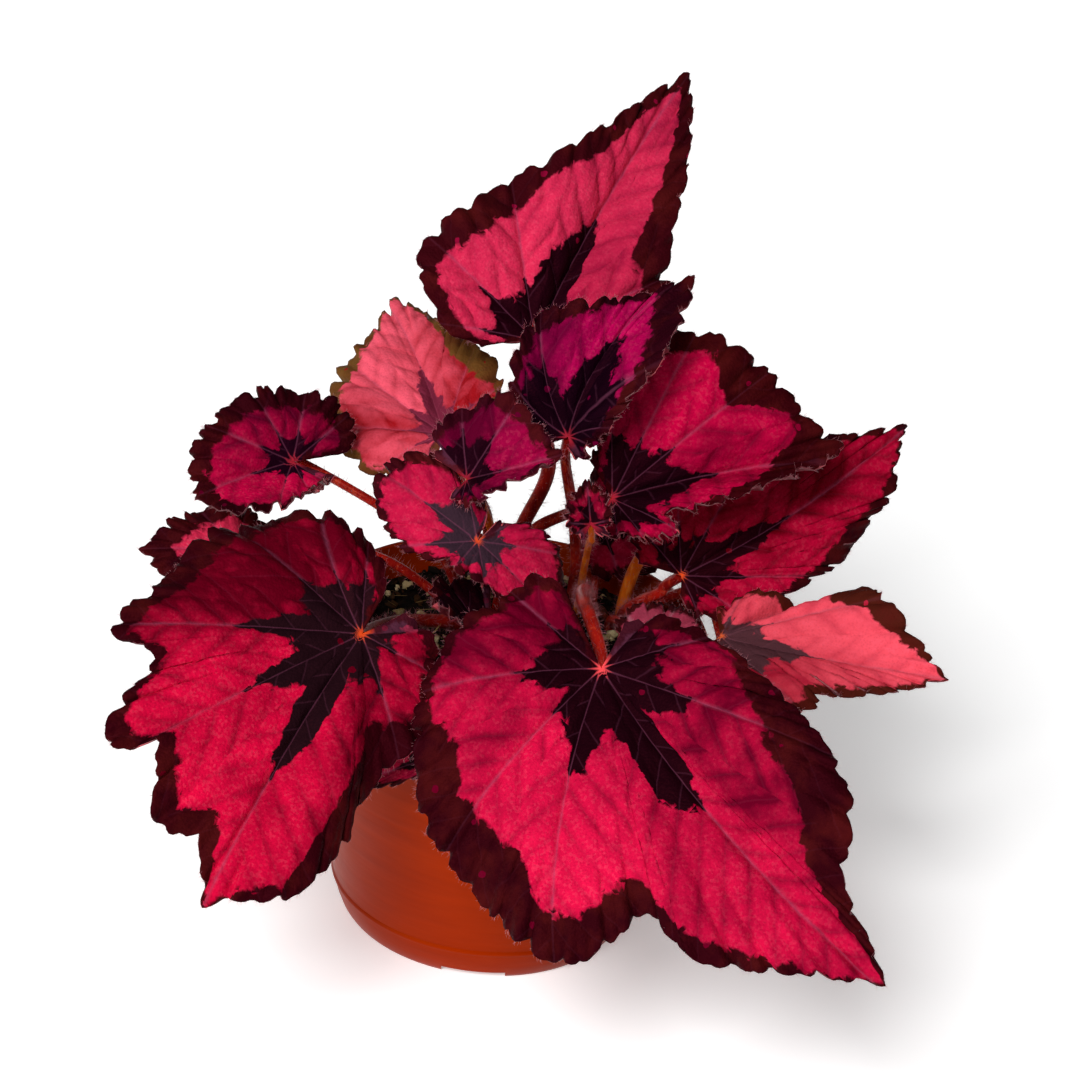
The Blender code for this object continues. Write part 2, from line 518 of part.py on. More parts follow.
# Leaf 15: low, between the largest leaf and the stalks.
blade = add_blade("leaf_15_blade", (38, -17, 91), 14, 8, 8, [
    (-120, 8, 8, 0), (-75, 12, 6, -10), (-35, 13, 4, -12), (0, 13, 0, -12), (20, 15, 2, -12),
    (40, 18, 4, -12), (70, 19, 6, -12), (100, 17, 6, -10), (135, 11, 8, 0)],
    dusky, columns=25, rows=3, wave=0.8, waves=5)
add_stalk("leaf_15_petiole", (26.6, 19.8), [(31, 4, 85)], blade, 2.6, stalk_red)

# Leaf 16: dark, behind the stalks.
blade = add_blade("leaf_16_blade", (22, 45, 95), -27, 4, 50, [
    (-150, 7, 8, 0), (-110, 11, 8, -8), (-75, 15, 6, -10), (-45, 18, 4, -12), (-20, 22, 2, -12),
    (0, 27, 0, -12), (20, 30, 4, -15), (50, 27, 6, -15), (85, 21, 8, -12), (120, 14, 8, -8),
    (150, 8, 8, 0)], dusky, columns=27, rows=3, point=3, wave=0.8, waves=5)
add_stalk("leaf_16_petiole", (21.7, 33.1), [(22, 38, 83.5)],
          blade, 2.6, stalk_red, approach=(0.15, -0.95, -0.2), drop=0.4)

# Leaf 17: the youngest leaf, in front of the stalk of leaf 2.
blade = add_blade("leaf_17_blade", (18, -18, 126), 114, 63, -22, [
    (-150, 4, 30, 0), (-90, 5, 30, -5), (-45, 8, 20, -5), (-15, 9, 5, -5), (0, 10, 0, -5),
    (20, 9, 5, -5), (45, 8, 20, -5), (90, 6, 30, -5), (150, 4, 30, 0)],
    dusky, columns=21, rows=3, point=1, tooth=0.8, wave=0.4, waves=4)
add_stalk("leaf_17_petiole", (17.5, 21.4), [(18.5, 0, 112)], blade, 2.0, stalk_orange)

# Leaf 18: behind leaves 9 and 10, on the wide orange stalk.
blade = add_blade("leaf_18_blade", (50, 34, 113), 50, 5, 15, [
    (-150, 9, 10, 0), (-115, 17, 10, -10), (-80, 22, 8, -20), (-50, 27, 6, -20), (-25, 34, 2, -20),
    (0, 38, 0, -18), (25, 32, 2, -20), (55, 26, 6, -22), (85, 22, 8, -20), (120, 16, 10, -10),
    (150, 9, 10, 0)], crimson, columns=31, point=8, wave=1.2, waves=6)
add_stalk("leaf_18_petiole", (29.8, 28.5), [(34, 25, 98)], blade, 3.6, stalk_orange)
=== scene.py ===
"""Looks of a potted rex begonia with crimson, dark-rimmed leaves, built round its frame."""
import math

import bpy
import numpy as np
from mathutils import Euler, Matrix, Vector, noise


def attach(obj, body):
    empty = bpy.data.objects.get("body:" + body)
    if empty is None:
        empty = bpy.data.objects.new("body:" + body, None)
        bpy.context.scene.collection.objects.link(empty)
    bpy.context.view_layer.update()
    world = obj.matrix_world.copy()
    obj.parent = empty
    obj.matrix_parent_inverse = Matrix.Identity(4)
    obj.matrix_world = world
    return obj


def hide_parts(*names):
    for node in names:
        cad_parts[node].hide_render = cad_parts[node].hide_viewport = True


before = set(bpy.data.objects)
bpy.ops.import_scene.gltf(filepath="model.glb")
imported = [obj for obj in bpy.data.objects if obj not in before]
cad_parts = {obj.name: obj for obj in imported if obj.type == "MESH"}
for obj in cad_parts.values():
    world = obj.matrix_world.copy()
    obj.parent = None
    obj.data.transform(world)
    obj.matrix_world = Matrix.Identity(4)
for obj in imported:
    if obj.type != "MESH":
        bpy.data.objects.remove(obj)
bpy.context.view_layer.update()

# Camera: it stands a good arm's length off and looks down on the plant. The frame is
# turned a little, so the pot leans to the right, as it does in the photograph.
MM = 0.001
LENS = 104.83
SENSOR = 36.0
VIEW_DISTANCE = 815.0
VIEW_DOWN = 27.0
VIEW_TURN = 6.0
VIEW_TARGET = (5.7, 0.0, 111.0)

camera_data = bpy.data.cameras.new("camera")
camera_data.lens = LENS
camera_data.sensor_width = SENSOR
camera_data.clip_end = 50.0
camera = bpy.data.objects.new("camera", camera_data)
bpy.context.scene.collection.objects.link(camera)
look = Matrix.Rotation(math.radians(90.0 - VIEW_DOWN), 4, "X")
look = look @ Matrix.Rotation(math.radians(VIEW_TURN), 4, "Z")
back_off = look @ Vector((0.0, 0.0, VIEW_DISTANCE * MM))
camera.matrix_world = Matrix.Translation(Vector(VIEW_TARGET) * MM + back_off) @ look
bpy.context.scene.camera = camera

# Studio: a white paper sweep under one broad soft light, high in front, a weaker one low
# on the left, and a dim even surround that leaves the deep colours deep.
PAPER = "FFFFFF"
PAPER_GLOW = 0.34
FLOOR_SIZE = 12.0
KEY_FROM = (-0.3, -0.75, 0.72)
KEY_SPREAD = 22.0
KEY_STRENGTH = 2.75
FILL_FROM = (-0.75, -0.7, 0.06)
FILL_SPREAD = 50.0
FILL_STRENGTH = 2.1
SURROUND = 0.13


def linear(code):
    """An sRGB hex colour as the linear values that a shader takes."""
    parts = [int(code[i:i + 2], 16) / 255.0 for i in (0, 2, 4)]
    parts = [c / 12.92 if c <= 0.04045 else ((c + 0.055) / 1.055) ** 2.4 for c in parts]
    return (*parts, 1.0)


def feed(tree, sockets, inputs):
    """Gives each socket its value, or links the output to it. Inputs in a tuple are in order."""
    for key, value in inputs.items() if isinstance(inputs, dict) else enumerate(inputs):
        if isinstance(value, bpy.types.NodeSocket):
            tree.links.new(value, sockets[key])
        else:
            sockets[key].default_value = value


def add(tree, kind, inputs=(), out=0, **settings):
    """Adds a node with its settings and inputs, and gives back its output out."""
    made = tree.nodes.new("ShaderNode" + kind)
    for key, value in settings.items():
        setattr(made, key, value)
    feed(tree, made.inputs, inputs)
    return made.outputs[out]


# What a mix of two colours is set to: its factor is input 0, its colours are 6 and 7.
COLOURS = {"out": 2, "data_type": "RGBA"}


def new_material(name):
    """A material with its node tree, its shader's sockets and the object's coordinates."""
    material = bpy.data.materials.new(name)
    material.use_nodes = True
    tree = material.node_tree
    place = add(tree, "TexCoord", out="Object")
    return material, tree, tree.nodes["Principled BSDF"].inputs, place


def deselect():
    """Leaves edit mode, and selects nothing."""
    if bpy.context.object and bpy.context.object.mode != "OBJECT":
        bpy.ops.object.mode_set(mode="OBJECT")
    bpy.ops.object.select_all(action="DESELECT")


deselect()
bpy.ops.mesh.primitive_plane_add(size=FLOOR_SIZE)
floor = bpy.context.object
floor.name = "paper_sweep"
paper, tree, shader, place = new_material("matt white background paper")
fibre = add(tree, "TexNoise", {"Vector": place, "Scale": 900.0, "Detail": 3.0})
felt = add(tree, "Bump", {"Height": fibre, "Strength": 0.1, "Distance": 0.0001})
feed(tree, shader, {"Base Color": linear(PAPER), "Roughness": 0.9, "Emission Color": linear(PAPER),
    "Emission Strength": PAPER_GLOW, "Normal": felt})
floor.data.materials.append(paper)


def soft_light(name, place, spread, strength):
    """A sun lamp that shines from the place to the plant, soft by its spread in degrees."""
    data = bpy.data.lights.new(name, "SUN")
    data.angle = math.radians(spread)
    data.energy = strength
    lamp = bpy.data.objects.new(name, data)
    bpy.context.scene.collection.objects.link(lamp)
    facing = Vector(place).to_track_quat("Z", "Y").to_matrix().to_4x4()
    lamp.matrix_world = Matrix.Translation(place) @ facing


soft_light("key_light", KEY_FROM, KEY_SPREAD, KEY_STRENGTH)
soft_light("fill_light", FILL_FROM, FILL_SPREAD, FILL_STRENGTH)
world = bpy.data.worlds.new("white surround")
bpy.context.scene.world = world
world.use_nodes = True
background = world.node_tree.nodes["Background"].inputs
feed(world.node_tree, background, {"Color": linear(PAPER), "Strength": SURROUND})
bpy.context.scene.view_settings.view_transform = "Standard"

# Pot: a thin tapered nursery pot, injection moulded in terracotta coloured
# polypropylene. A band stiffens its rim, a fine ridge runs round near the foot, and
# it stands on a notched foot ring and a flat centre disc.
POT_HEIGHT = 85.0
RIM_RADIUS = 53.0
RIM_INNER_RADIUS = 51.0
BAND_BOTTOM = 69.0
WALL_TOP_RADIUS = 51.9
RIDGE_RADIUS = 41.6
RIDGE_HEIGHT = 9.2
WALL = 1.6
DISC_RADIUS = 11.0
POT_SIDES = 160
DRAIN_HOLES = 6
DRAIN_CIRCLE_RADIUS = 22.5
DRAIN_HOLE_RADIUS = 3.5
DRAIN_TURN = 20.0
FOOT_NOTCHES = 4
NOTCH_CIRCLE_RADIUS = 37.5
NOTCH_SIZE = (11.0, 17.0, 4.0)
SHARP_FROM = 35.0
TERRACOTTA = "902600"
TERRACOTTA_DEEP = "781A00"
BENCH_DUST = "A85020"


def wall_radius(height):
    """Outer radius in mm of the tapered wall at a height in mm."""
    part = (height - RIDGE_HEIGHT) / (BAND_BOTTOM - RIDGE_HEIGHT)
    return RIDGE_RADIUS + (WALL_TOP_RADIUS - RIDGE_RADIUS) * part


def on_circle(radius, angle, height):
    """The point in metres at an angle on a circle of this radius and height in mm."""
    return radius * math.cos(angle) * MM, radius * math.sin(angle) * MM, height * MM


def edit_edges():
    """Opens the active piece's mesh with all its edges selected."""
    bpy.ops.object.mode_set(mode="EDIT")
    bpy.ops.mesh.select_mode(type="EDGE")
    bpy.ops.mesh.select_all(action="SELECT")


def draw_rings(rings):
    """Draws the selected ring of edges out through (radius, height) in mm, and closes the end."""
    for (r0, z0), (r1, z1) in zip(rings, rings[1:]):
        rise = (0.0, 0.0, (z1 - z0) * MM)
        bpy.ops.mesh.extrude_edges_move(TRANSFORM_OT_translate={"value": rise})
        centre = (0.0, 0.0, z1 * MM)
        bpy.ops.transform.resize(value=(r1 / r0, r1 / r0, 1.0), center_override=centre)
    bpy.ops.mesh.edge_face_add()
    bpy.ops.mesh.select_all(action="SELECT")
    bpy.ops.mesh.normals_make_consistent(inside=False)
    deselect()


def apply_all(piece):
    """Applies the piece's modifiers in their order."""
    bpy.context.view_layer.objects.active = piece
    for modifier in list(piece.modifiers):
        bpy.ops.object.modifier_apply(modifier=modifier.name)


def cut_away(piece, cutter):
    """Cuts the shape out of the piece, and removes the cutter."""
    cut = piece.modifiers.new("cut", "BOOLEAN")
    cut.object = cutter
    apply_all(piece)
    bpy.data.objects.remove(cutter)


def pick(piece):
    """Makes the piece the only one selected, and the active one."""
    deselect()
    piece.select_set(True)
    bpy.context.view_layer.objects.active = piece


def settle(piece):
    """Puts the piece's place into its mesh, so its object sits at the origin."""
    pick(piece)
    bpy.ops.object.transform_apply(location=True, rotation=True, scale=True)


outer_rings = [
    (DISC_RADIUS, 0.0), (11.4, 2.2), (33.6, 2.2), (34.0, 0.3), (34.3, 0.0), (38.0, 0.0),
    (38.4, 0.3), (39.2, 1.5), (40.4, 4.5),
    (RIDGE_RADIUS - 0.4, RIDGE_HEIGHT - 0.9), (RIDGE_RADIUS + 0.3, RIDGE_HEIGHT - 0.5),
    (RIDGE_RADIUS + 0.5, RIDGE_HEIGHT), (RIDGE_RADIUS + 0.45, RIDGE_HEIGHT + 0.4),
    (wall_radius(RIDGE_HEIGHT + 0.9), RIDGE_HEIGHT + 0.9)]
outer_rings += [(wall_radius(z), z) for z in (20.0, 32.0, 44.0, 56.0, BAND_BOTTOM - 0.6)]
outer_rings += [
    (wall_radius(BAND_BOTTOM) + 0.1, BAND_BOTTOM - 0.2), (RIM_RADIUS - 0.6, BAND_BOTTOM),
    (RIM_RADIUS - 0.35, BAND_BOTTOM + 0.3), (RIM_RADIUS - 0.2, 77.0),
    (RIM_RADIUS, POT_HEIGHT - 0.7),
    (RIM_RADIUS - 0.2, POT_HEIGHT - 0.2), (RIM_RADIUS - 0.6, POT_HEIGHT)]
inner_rings = [
    (RIM_INNER_RADIUS + 0.7, POT_HEIGHT), (RIM_INNER_RADIUS + 0.35, POT_HEIGHT - 0.25),
    (RIM_INNER_RADIUS + 0.2, POT_HEIGHT - 0.8), (RIM_INNER_RADIUS, BAND_BOTTOM + 1.5),
    (wall_radius(BAND_BOTTOM) - WALL, BAND_BOTTOM), (wall_radius(RIDGE_HEIGHT) - WALL, 9.0),
    (39.2, 6.0), (37.0, 4.2), (20.0, 4.2)]
deselect()
bpy.ops.mesh.primitive_circle_add(vertices=POT_SIDES, radius=DISC_RADIUS * MM, fill_type="NGON")
pot = bpy.context.object
pot.name = "nursery_pot"
edit_edges()
draw_rings(outer_rings + inner_rings)
for k in range(DRAIN_HOLES):
    angle = 2.0 * math.pi / DRAIN_HOLES * k + math.radians(DRAIN_TURN)
    deselect()
    bpy.ops.mesh.primitive_cylinder_add(
        vertices=32, radius=DRAIN_HOLE_RADIUS * MM, depth=8.0 * MM,
        location=on_circle(DRAIN_CIRCLE_RADIUS, angle, 3.0))
    cut_away(pot, bpy.context.object)
for k in range(FOOT_NOTCHES):
    angle = 2.0 * math.pi / FOOT_NOTCHES * k - math.pi / 2.0
    deselect()
    bpy.ops.mesh.primitive_cube_add(size=1.0)
    notch = bpy.context.object
    notch.scale = [side * MM for side in NOTCH_SIZE]
    notch.rotation_euler = (0.0, 0.0, angle)
    notch.location = on_circle(NOTCH_CIRCLE_RADIUS, angle, 0.0)
    cut_away(pot, notch)
pick(pot)
bpy.ops.object.shade_smooth_by_angle(angle=math.radians(SHARP_FROM))

# Moulded polypropylene: an even satin gloss, with faint flow marks round the wall and
# a little dust from the potting bench.
plastic, tree, shader, place = new_material("injection moulded polypropylene")
flow_place = add(tree, "Mapping", {"Vector": place, "Scale": (1.0, 1.0, 9.0)})
flow = add(tree, "TexNoise", {"Vector": flow_place, "Scale": 35.0, "Detail": 4.0})
dust = add(tree, "TexNoise", {"Vector": place, "Scale": 60.0, "Detail": 6.0, "Roughness": 0.7})
grain = add(tree, "TexNoise", {"Vector": place, "Scale": 1600.0, "Detail": 2.0})
colour = add(tree, "Mix", {0: flow, 6: linear(TERRACOTTA), 7: linear(TERRACOTTA_DEEP)}, **COLOURS)
dusty = add(tree, "MapRange", (dust, 0.55, 0.8, 0.0, 0.05))
colour = add(tree, "Mix", {0: dusty, 6: colour, 7: linear(BENCH_DUST)}, **COLOURS)
dull = add(tree, "MapRange", (dust, 0.3, 0.8, 0.3, 0.46))
skin = add(tree, "Bump", {"Height": grain, "Strength": 0.12, "Distance": 0.00006})
wavy = add(tree, "Bump", {"Height": flow, "Strength": 0.25, "Distance": 0.0004, "Normal": skin})
feed(tree, shader, {"Base Color": colour, "Roughness": dull, "Specular IOR Level": 0.1,
    "Specular Tint": linear("FF8030"), "Normal": wavy})
pot.data.materials.clear()
pot.data.materials.append(plastic)
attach(pot, "root")
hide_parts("pot")

# Soil: moist peat with composted bark, pressed down to a little under the rim. Its
# crumbled top is drawn over a fine grid, and the plug below it fills the pot.
SOIL_TOP = 76.0
SOIL_RIPPLE = 1.3
SOIL_RADIUS = 50.7
SOIL_EDGE_DROP = 1.0
SOIL_GRID = 170
SOIL_WALL_GAP = 0.3
CRUMB = 1.5


def soil_height(x, y):
    """Height in mm of the soil's top over the point x, y in mm."""
    ripple = math.sin(0.21 * x + 0.6) * math.cos(0.17 * y - 0.4)
    ripple += 0.5 * math.sin(0.43 * y + 1.1) * math.cos(0.37 * x)
    fade = max(0.0, 1.0 - (math.hypot(x, y) / 50.0) ** 4)
    return SOIL_TOP + SOIL_RIPPLE * ripple * fade


def crumbled(x, y):
    """The soil's height with its crumbs, in mm."""
    spot = Vector((x, y, 0.0))
    lumps = noise.noise(spot * 0.16) + 0.6 * abs(noise.noise(spot * 0.37))
    lumps += 0.35 * noise.noise(spot * 0.9)
    return soil_height(x, y) + CRUMB * (lumps - 0.25) + 0.35 * noise.noise(spot * 2.1)


deselect()
bpy.ops.mesh.primitive_grid_add(x_subdivisions=SOIL_GRID, y_subdivisions=SOIL_GRID, size=2.0)
soil = bpy.context.object
soil.name = "potting_soil"
for vertex in soil.data.vertices:
    x, y = vertex.co.x, vertex.co.y
    across = x * math.sqrt(max(0.0, 1.0 - y * y / 2.0)) * SOIL_RADIUS
    deep = y * math.sqrt(max(0.0, 1.0 - x * x / 2.0)) * SOIL_RADIUS
    near_wall = max(0.0, 1.0 - (math.hypot(across, deep) / SOIL_RADIUS) ** 12)
    low = SOIL_TOP - SOIL_EDGE_DROP
    height = low + (crumbled(across, deep) - low) * near_wall
    vertex.co = (across * MM, deep * MM, height * MM)
edit_edges()
bpy.ops.mesh.region_to_loop()
draw_rings([
    (SOIL_RADIUS, SOIL_TOP - SOIL_EDGE_DROP), (SOIL_RADIUS, BAND_BOTTOM + 2.2),
    (wall_radius(BAND_BOTTOM) - WALL - SOIL_WALL_GAP, 68.5),
    (wall_radius(RIDGE_HEIGHT) - WALL - SOIL_WALL_GAP, 9.0), (38.6, 6.3), (36.8, 4.5)])
pick(soil)
bpy.ops.object.shade_smooth()

# Moist peat: black-brown crumbs, lighter where fibres dry out, with a faint wet gloss.
peat, tree, shader, place = new_material("moist peat and bark mix")
clods = add(tree, "TexNoise", {"Vector": place, "Scale": 320.0, "Detail": 8.0, "Roughness": 0.7})
shreds = add(tree, "TexVoronoi", {"Vector": place, "Scale": 900.0}, feature="F1")
dry = add(tree, "MapRange", (clods, 0.42, 0.72))
colour = add(tree, "Mix", {0: dry, 6: linear("060302"), 7: linear("20130A")}, **COLOURS)
fleck = add(tree, "MapRange", (shreds, 0.18, 0.05, 0.0, 0.35))
colour = add(tree, "Mix", {0: fleck, 6: colour, 7: linear("6B4A22")}, **COLOURS)
lumpy = add(tree, "Bump", {"Height": clods, "Strength": 0.9, "Distance": 0.0012})
torn = add(tree, "Bump", {"Height": shreds, "Strength": 0.6, "Distance": 0.0005, "Normal": lumpy})
feed(tree, shader, {"Base Color": colour, "Roughness": 0.82, "Specular IOR Level": 0.1,
    "Normal": torn})
soil.data.materials.clear()
soil.data.materials.append(peat)
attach(soil, "root")
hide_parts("soil")

# Grains in the soil: puffed perlite, cream coloured and knobbly, chips of bark, and
# shreds of peat fibre. One of each is modelled, and copies lie about the top.
PERLITE_GRAINS = 190
BARK_CHIPS = 900
PEAT_FIBRES = 260
GRAIN_CIRCLE_RADIUS = 48.5
draw = np.random.default_rng(7)


def new_piece(name, points, faces, material):
    """A piece with the given points in mm, faces and material."""
    mesh = bpy.data.meshes.new(name)
    mesh.from_pydata((points * MM).tolist(), [], faces)
    piece = bpy.data.objects.new(name, mesh)
    bpy.context.scene.collection.objects.link(piece)
    mesh.materials.append(material)
    return piece


def scatter(name, pattern, count, size, flatten, sink, material):
    """One piece of many turned, stretched copies of the pattern's mesh, lying on the soil."""
    shape = np.array([vertex.co for vertex in pattern.data.vertices])
    faces = [tuple(face.vertices) for face in pattern.data.polygons]
    points = []
    links = []
    for k in range(count):
        radius = GRAIN_CIRCLE_RADIUS * math.sqrt(draw.random())
        angle = draw.random() * 2.0 * math.pi
        x, y = radius * math.cos(angle), radius * math.sin(angle)
        big = size[0] + (size[1] - size[0]) * draw.random() ** 2.2
        stretch = np.array([1.0, 0.6 + 0.4 * draw.random(), flatten * (0.7 + 0.3 * draw.random())])
        lumps = 1.0 + 0.22 * draw.standard_normal((len(shape), 1)).clip(-1.5, 1.5)
        lean = 0.5 if flatten > 0.3 else 0.25
        turn = Euler((lean * draw.standard_normal(), lean * draw.standard_normal(), angle * 5.0))
        body = (shape * lumps * stretch * big) @ np.array(turn.to_matrix()).T
        place = np.array([x, y, crumbled(x, y) + big * stretch[2] * sink])
        links += [tuple(v + len(points) * len(shape) for v in face) for face in faces]
        points.append(body + place)
    piece = new_piece(name, np.concatenate(points), links, material)
    bpy.data.objects.remove(pattern)
    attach(piece, "root")
    return piece


# Perlite: puffed volcanic glass, dull white with cream stains and tiny pits.
perlite, tree, shader, place = new_material("puffed perlite")
stain = add(tree, "TexNoise", {"Vector": place, "Scale": 260.0, "Detail": 3.0})
pits = add(tree, "TexVoronoi", {"Vector": place, "Scale": 2400.0})
pale = add(tree, "MapRange", (stain, 0.35, 0.62))
colour = add(tree, "Mix", {0: pale, 6: linear("7A6634"), 7: linear("D8C898")}, **COLOURS)
pitted = add(tree, "Bump", {"Height": pits, "Strength": 0.5, "Distance": 0.0002})
feed(tree, shader, {"Base Color": colour, "Roughness": 0.85, "Normal": pitted})
deselect()
bpy.ops.mesh.primitive_ico_sphere_add(subdivisions=2, radius=1.0)
grains = scatter(
    "perlite_grains", bpy.context.object, PERLITE_GRAINS, (0.55, 1.9), 0.85, 0.3, perlite)
grains.data.shade_smooth()

# Bark: dark composted chips with a drier, paler face here and there.
bark, tree, shader, place = new_material("composted bark")
chip = add(tree, "TexVoronoi", {"Vector": place, "Scale": 330.0}, out="Color")
tone = add(tree, "SeparateColor", {"Color": chip})
pale = add(tree, "MapRange", (tone, 0.6, 1.0))
colour = add(tree, "Mix", {0: pale, 6: linear("0C0704"), 7: linear("3A2410")}, **COLOURS)
feed(tree, shader, {"Base Color": colour, "Roughness": 0.75, "Specular IOR Level": 0.1})
deselect()
bpy.ops.mesh.primitive_ico_sphere_add(subdivisions=1, radius=1.0)
scatter("bark_chips", bpy.context.object, BARK_CHIPS, (0.5, 2.3), 0.5, 0.25, bark)

# Fibre: strands of half rotted moss and straw.
fibre, tree, shader, place = new_material("peat fibre")
tone = add(tree, "TexNoise", {"Vector": place, "Scale": 180.0})
colour = add(tree, "Mix", {0: tone, 6: linear("3A2812"), 7: linear("8A6C34")}, **COLOURS)
feed(tree, shader, {"Base Color": colour, "Roughness": 0.7})
deselect()
bpy.ops.mesh.primitive_cylinder_add(
    vertices=4, radius=0.05, depth=2.0, rotation=(0.0, math.pi / 2.0, 0.0))
strand = bpy.context.object
settle(strand)
scatter("peat_fibres", strand, PEAT_FIBRES, (1.0, 3.4), 1.0, 1.2, fibre)

# Crowns: the two short knobbly growing points that the stalks stand round, brown scaly
# tissue half sunk in the soil.
CROWN_RADIUS = 3.6


def grow_crown(name, x, y):
    """A knobbly crown, half sunk in the soil at x, y in mm."""
    deselect()
    bpy.ops.mesh.primitive_uv_sphere_add(segments=40, ring_count=26, radius=CROWN_RADIUS * MM)
    crown = bpy.context.object
    crown.name = name
    for vertex in crown.data.vertices:
        spot = vertex.co / MM
        knob = 0.06 * math.sin(5.0 * spot.x + 1.0) * math.cos(4.0 * spot.y)
        knob = 0.93 + knob * math.cos(2.0 * spot.z)
        vertex.co = Vector((vertex.co.x * knob, vertex.co.y * knob, vertex.co.z * 1.25))
    crown.location = (x * MM, y * MM, (SOIL_TOP - 0.5) * MM)
    settle(crown)
    bpy.ops.object.shade_smooth()
    crown.data.materials.append(crown_skin)
    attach(crown, "root")
    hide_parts(name)


# Crown tissue: corky and scarred, redder where fresh growth shows.
crown_skin, tree, shader, place = new_material("corky crown tissue")
scars = add(tree, "TexNoise", {"Vector": place, "Scale": 700.0, "Detail": 5.0})
fresh = add(tree, "MapRange", (scars, 0.4, 0.65))
colour = add(tree, "Mix", {0: fresh, 6: linear("3A1A10"), 7: linear("8A3418")}, **COLOURS)
corky = add(tree, "Bump", {"Height": scars, "Strength": 0.6, "Distance": 0.0004})
feed(tree, shader, {"Base Color": colour, "Roughness": 0.6, "Normal": corky})
grow_crown("crown_right", 23.0, 26.0)
grow_crown("crown_left", -7.0, 14.0)

# Leaf blades: thin lobed sheets that grow from a seat on the stalk. Each is drawn over a
# fine grid from the same ribs as its solid, then gets its sunken veins, the puffed
# tissue between them, a scalloped edge with fine ruffles, and its thickness.
BLADE_THICKNESS = 0.6
COLUMNS_A_STEP = 5
ROW_LENGTH = 1.6
LEAN_STEPS = 40
TIP_SPREAD = 7.0
SCALLOP = 4.4
SCALLOP_DEPTH = 1.3
RUFFLE = 0.8
VEIN_FAN = 34.0
VEIN_GROOVE = 0.4
VEIN_WIDTH = 1.1
BRANCH_SPACING = 8.5
BRANCH_SLANT = 1.15
BRANCH_SHIFT = 0.37
BRANCH_WIDTH = BRANCH_SPACING * 0.7
WIDEST_PLEAT = 22.0
CORE_LOBE = 2.6
CORE_ALONG_VEIN = 4.0
RIM_LOBE = 2.2
SIDE_RIM = 1.3


def through(xs, ys, tangent, at):
    """The curve through the points with these tangents, read at the values of at."""
    i = np.clip(np.searchsorted(xs, at) - 1, 0, len(xs) - 2)
    step = xs[i + 1] - xs[i]
    u = (at - xs[i]) / step
    value = (2 * u**3 - 3 * u**2 + 1) * ys[i] + (u**3 - 2 * u**2 + u) * step * tangent[i]
    return value + (-2 * u**3 + 3 * u**2) * ys[i + 1] + (u**3 - u**2) * step * tangent[i + 1]


def smooth_through(xs, ys, at):
    """A curve through the points that never overshoots them, read at the values of at."""
    xs = np.array(xs, dtype=float)
    ys = np.array(ys, dtype=float)
    rise = np.diff(ys) / np.diff(xs)
    tangent = np.zeros(len(xs))
    tangent[0] = rise[0]
    tangent[-1] = rise[-1]
    for i in range(1, len(xs) - 1):
        if rise[i - 1] * rise[i] > 0.0:
            tangent[i] = 2.0 * rise[i - 1] * rise[i] / (rise[i - 1] + rise[i])
    return through(xs, ys, tangent, at)


def edge_places(ribs, steps, point):
    """Each column's angle and place in the solid's columns, the reach at an angle, the margin."""
    angles = [rib[0] for rib in ribs]
    reaches = [rib[1] for rib in ribs]

    def reach_at(at):
        return smooth_through(angles, reaches, at) + point * np.exp(-np.abs(at) / TIP_SPREAD)

    sides = [np.linspace(angles[0], 0.0, 361), np.linspace(0.0, angles[-1], 361)]
    runs = []
    for side in sides:
        x = reach_at(side) * np.cos(np.radians(side))
        y = reach_at(side) * np.sin(np.radians(side))
        runs.append(np.concatenate([[0.0], np.cumsum(np.hypot(np.diff(x), np.diff(y)))]))
    whole = runs[0][-1] + runs[1][-1]
    right_steps = 2 * round(steps / 2 * runs[0][-1] / whole) + 1
    angle = []
    for side, run, count in zip(sides, runs, (right_steps, steps - right_steps)):
        angle.append(np.interp(np.linspace(0.0, run[-1], count * COLUMNS_A_STEP + 1), run, side))
    angle = np.concatenate([angle[0], angle[1][1:]])
    return angle, np.arange(steps * COLUMNS_A_STEP + 1) / COLUMNS_A_STEP, reach_at, whole


def away_from(edge, flat):
    """Distance in mm of each point of the flat sheet from the nearest point of its edge."""
    return np.stack([np.sqrt(((flat[:, row, None] - edge[None]) ** 2).sum(2).min(1))
                     for row in range(flat.shape[1])], axis=1)


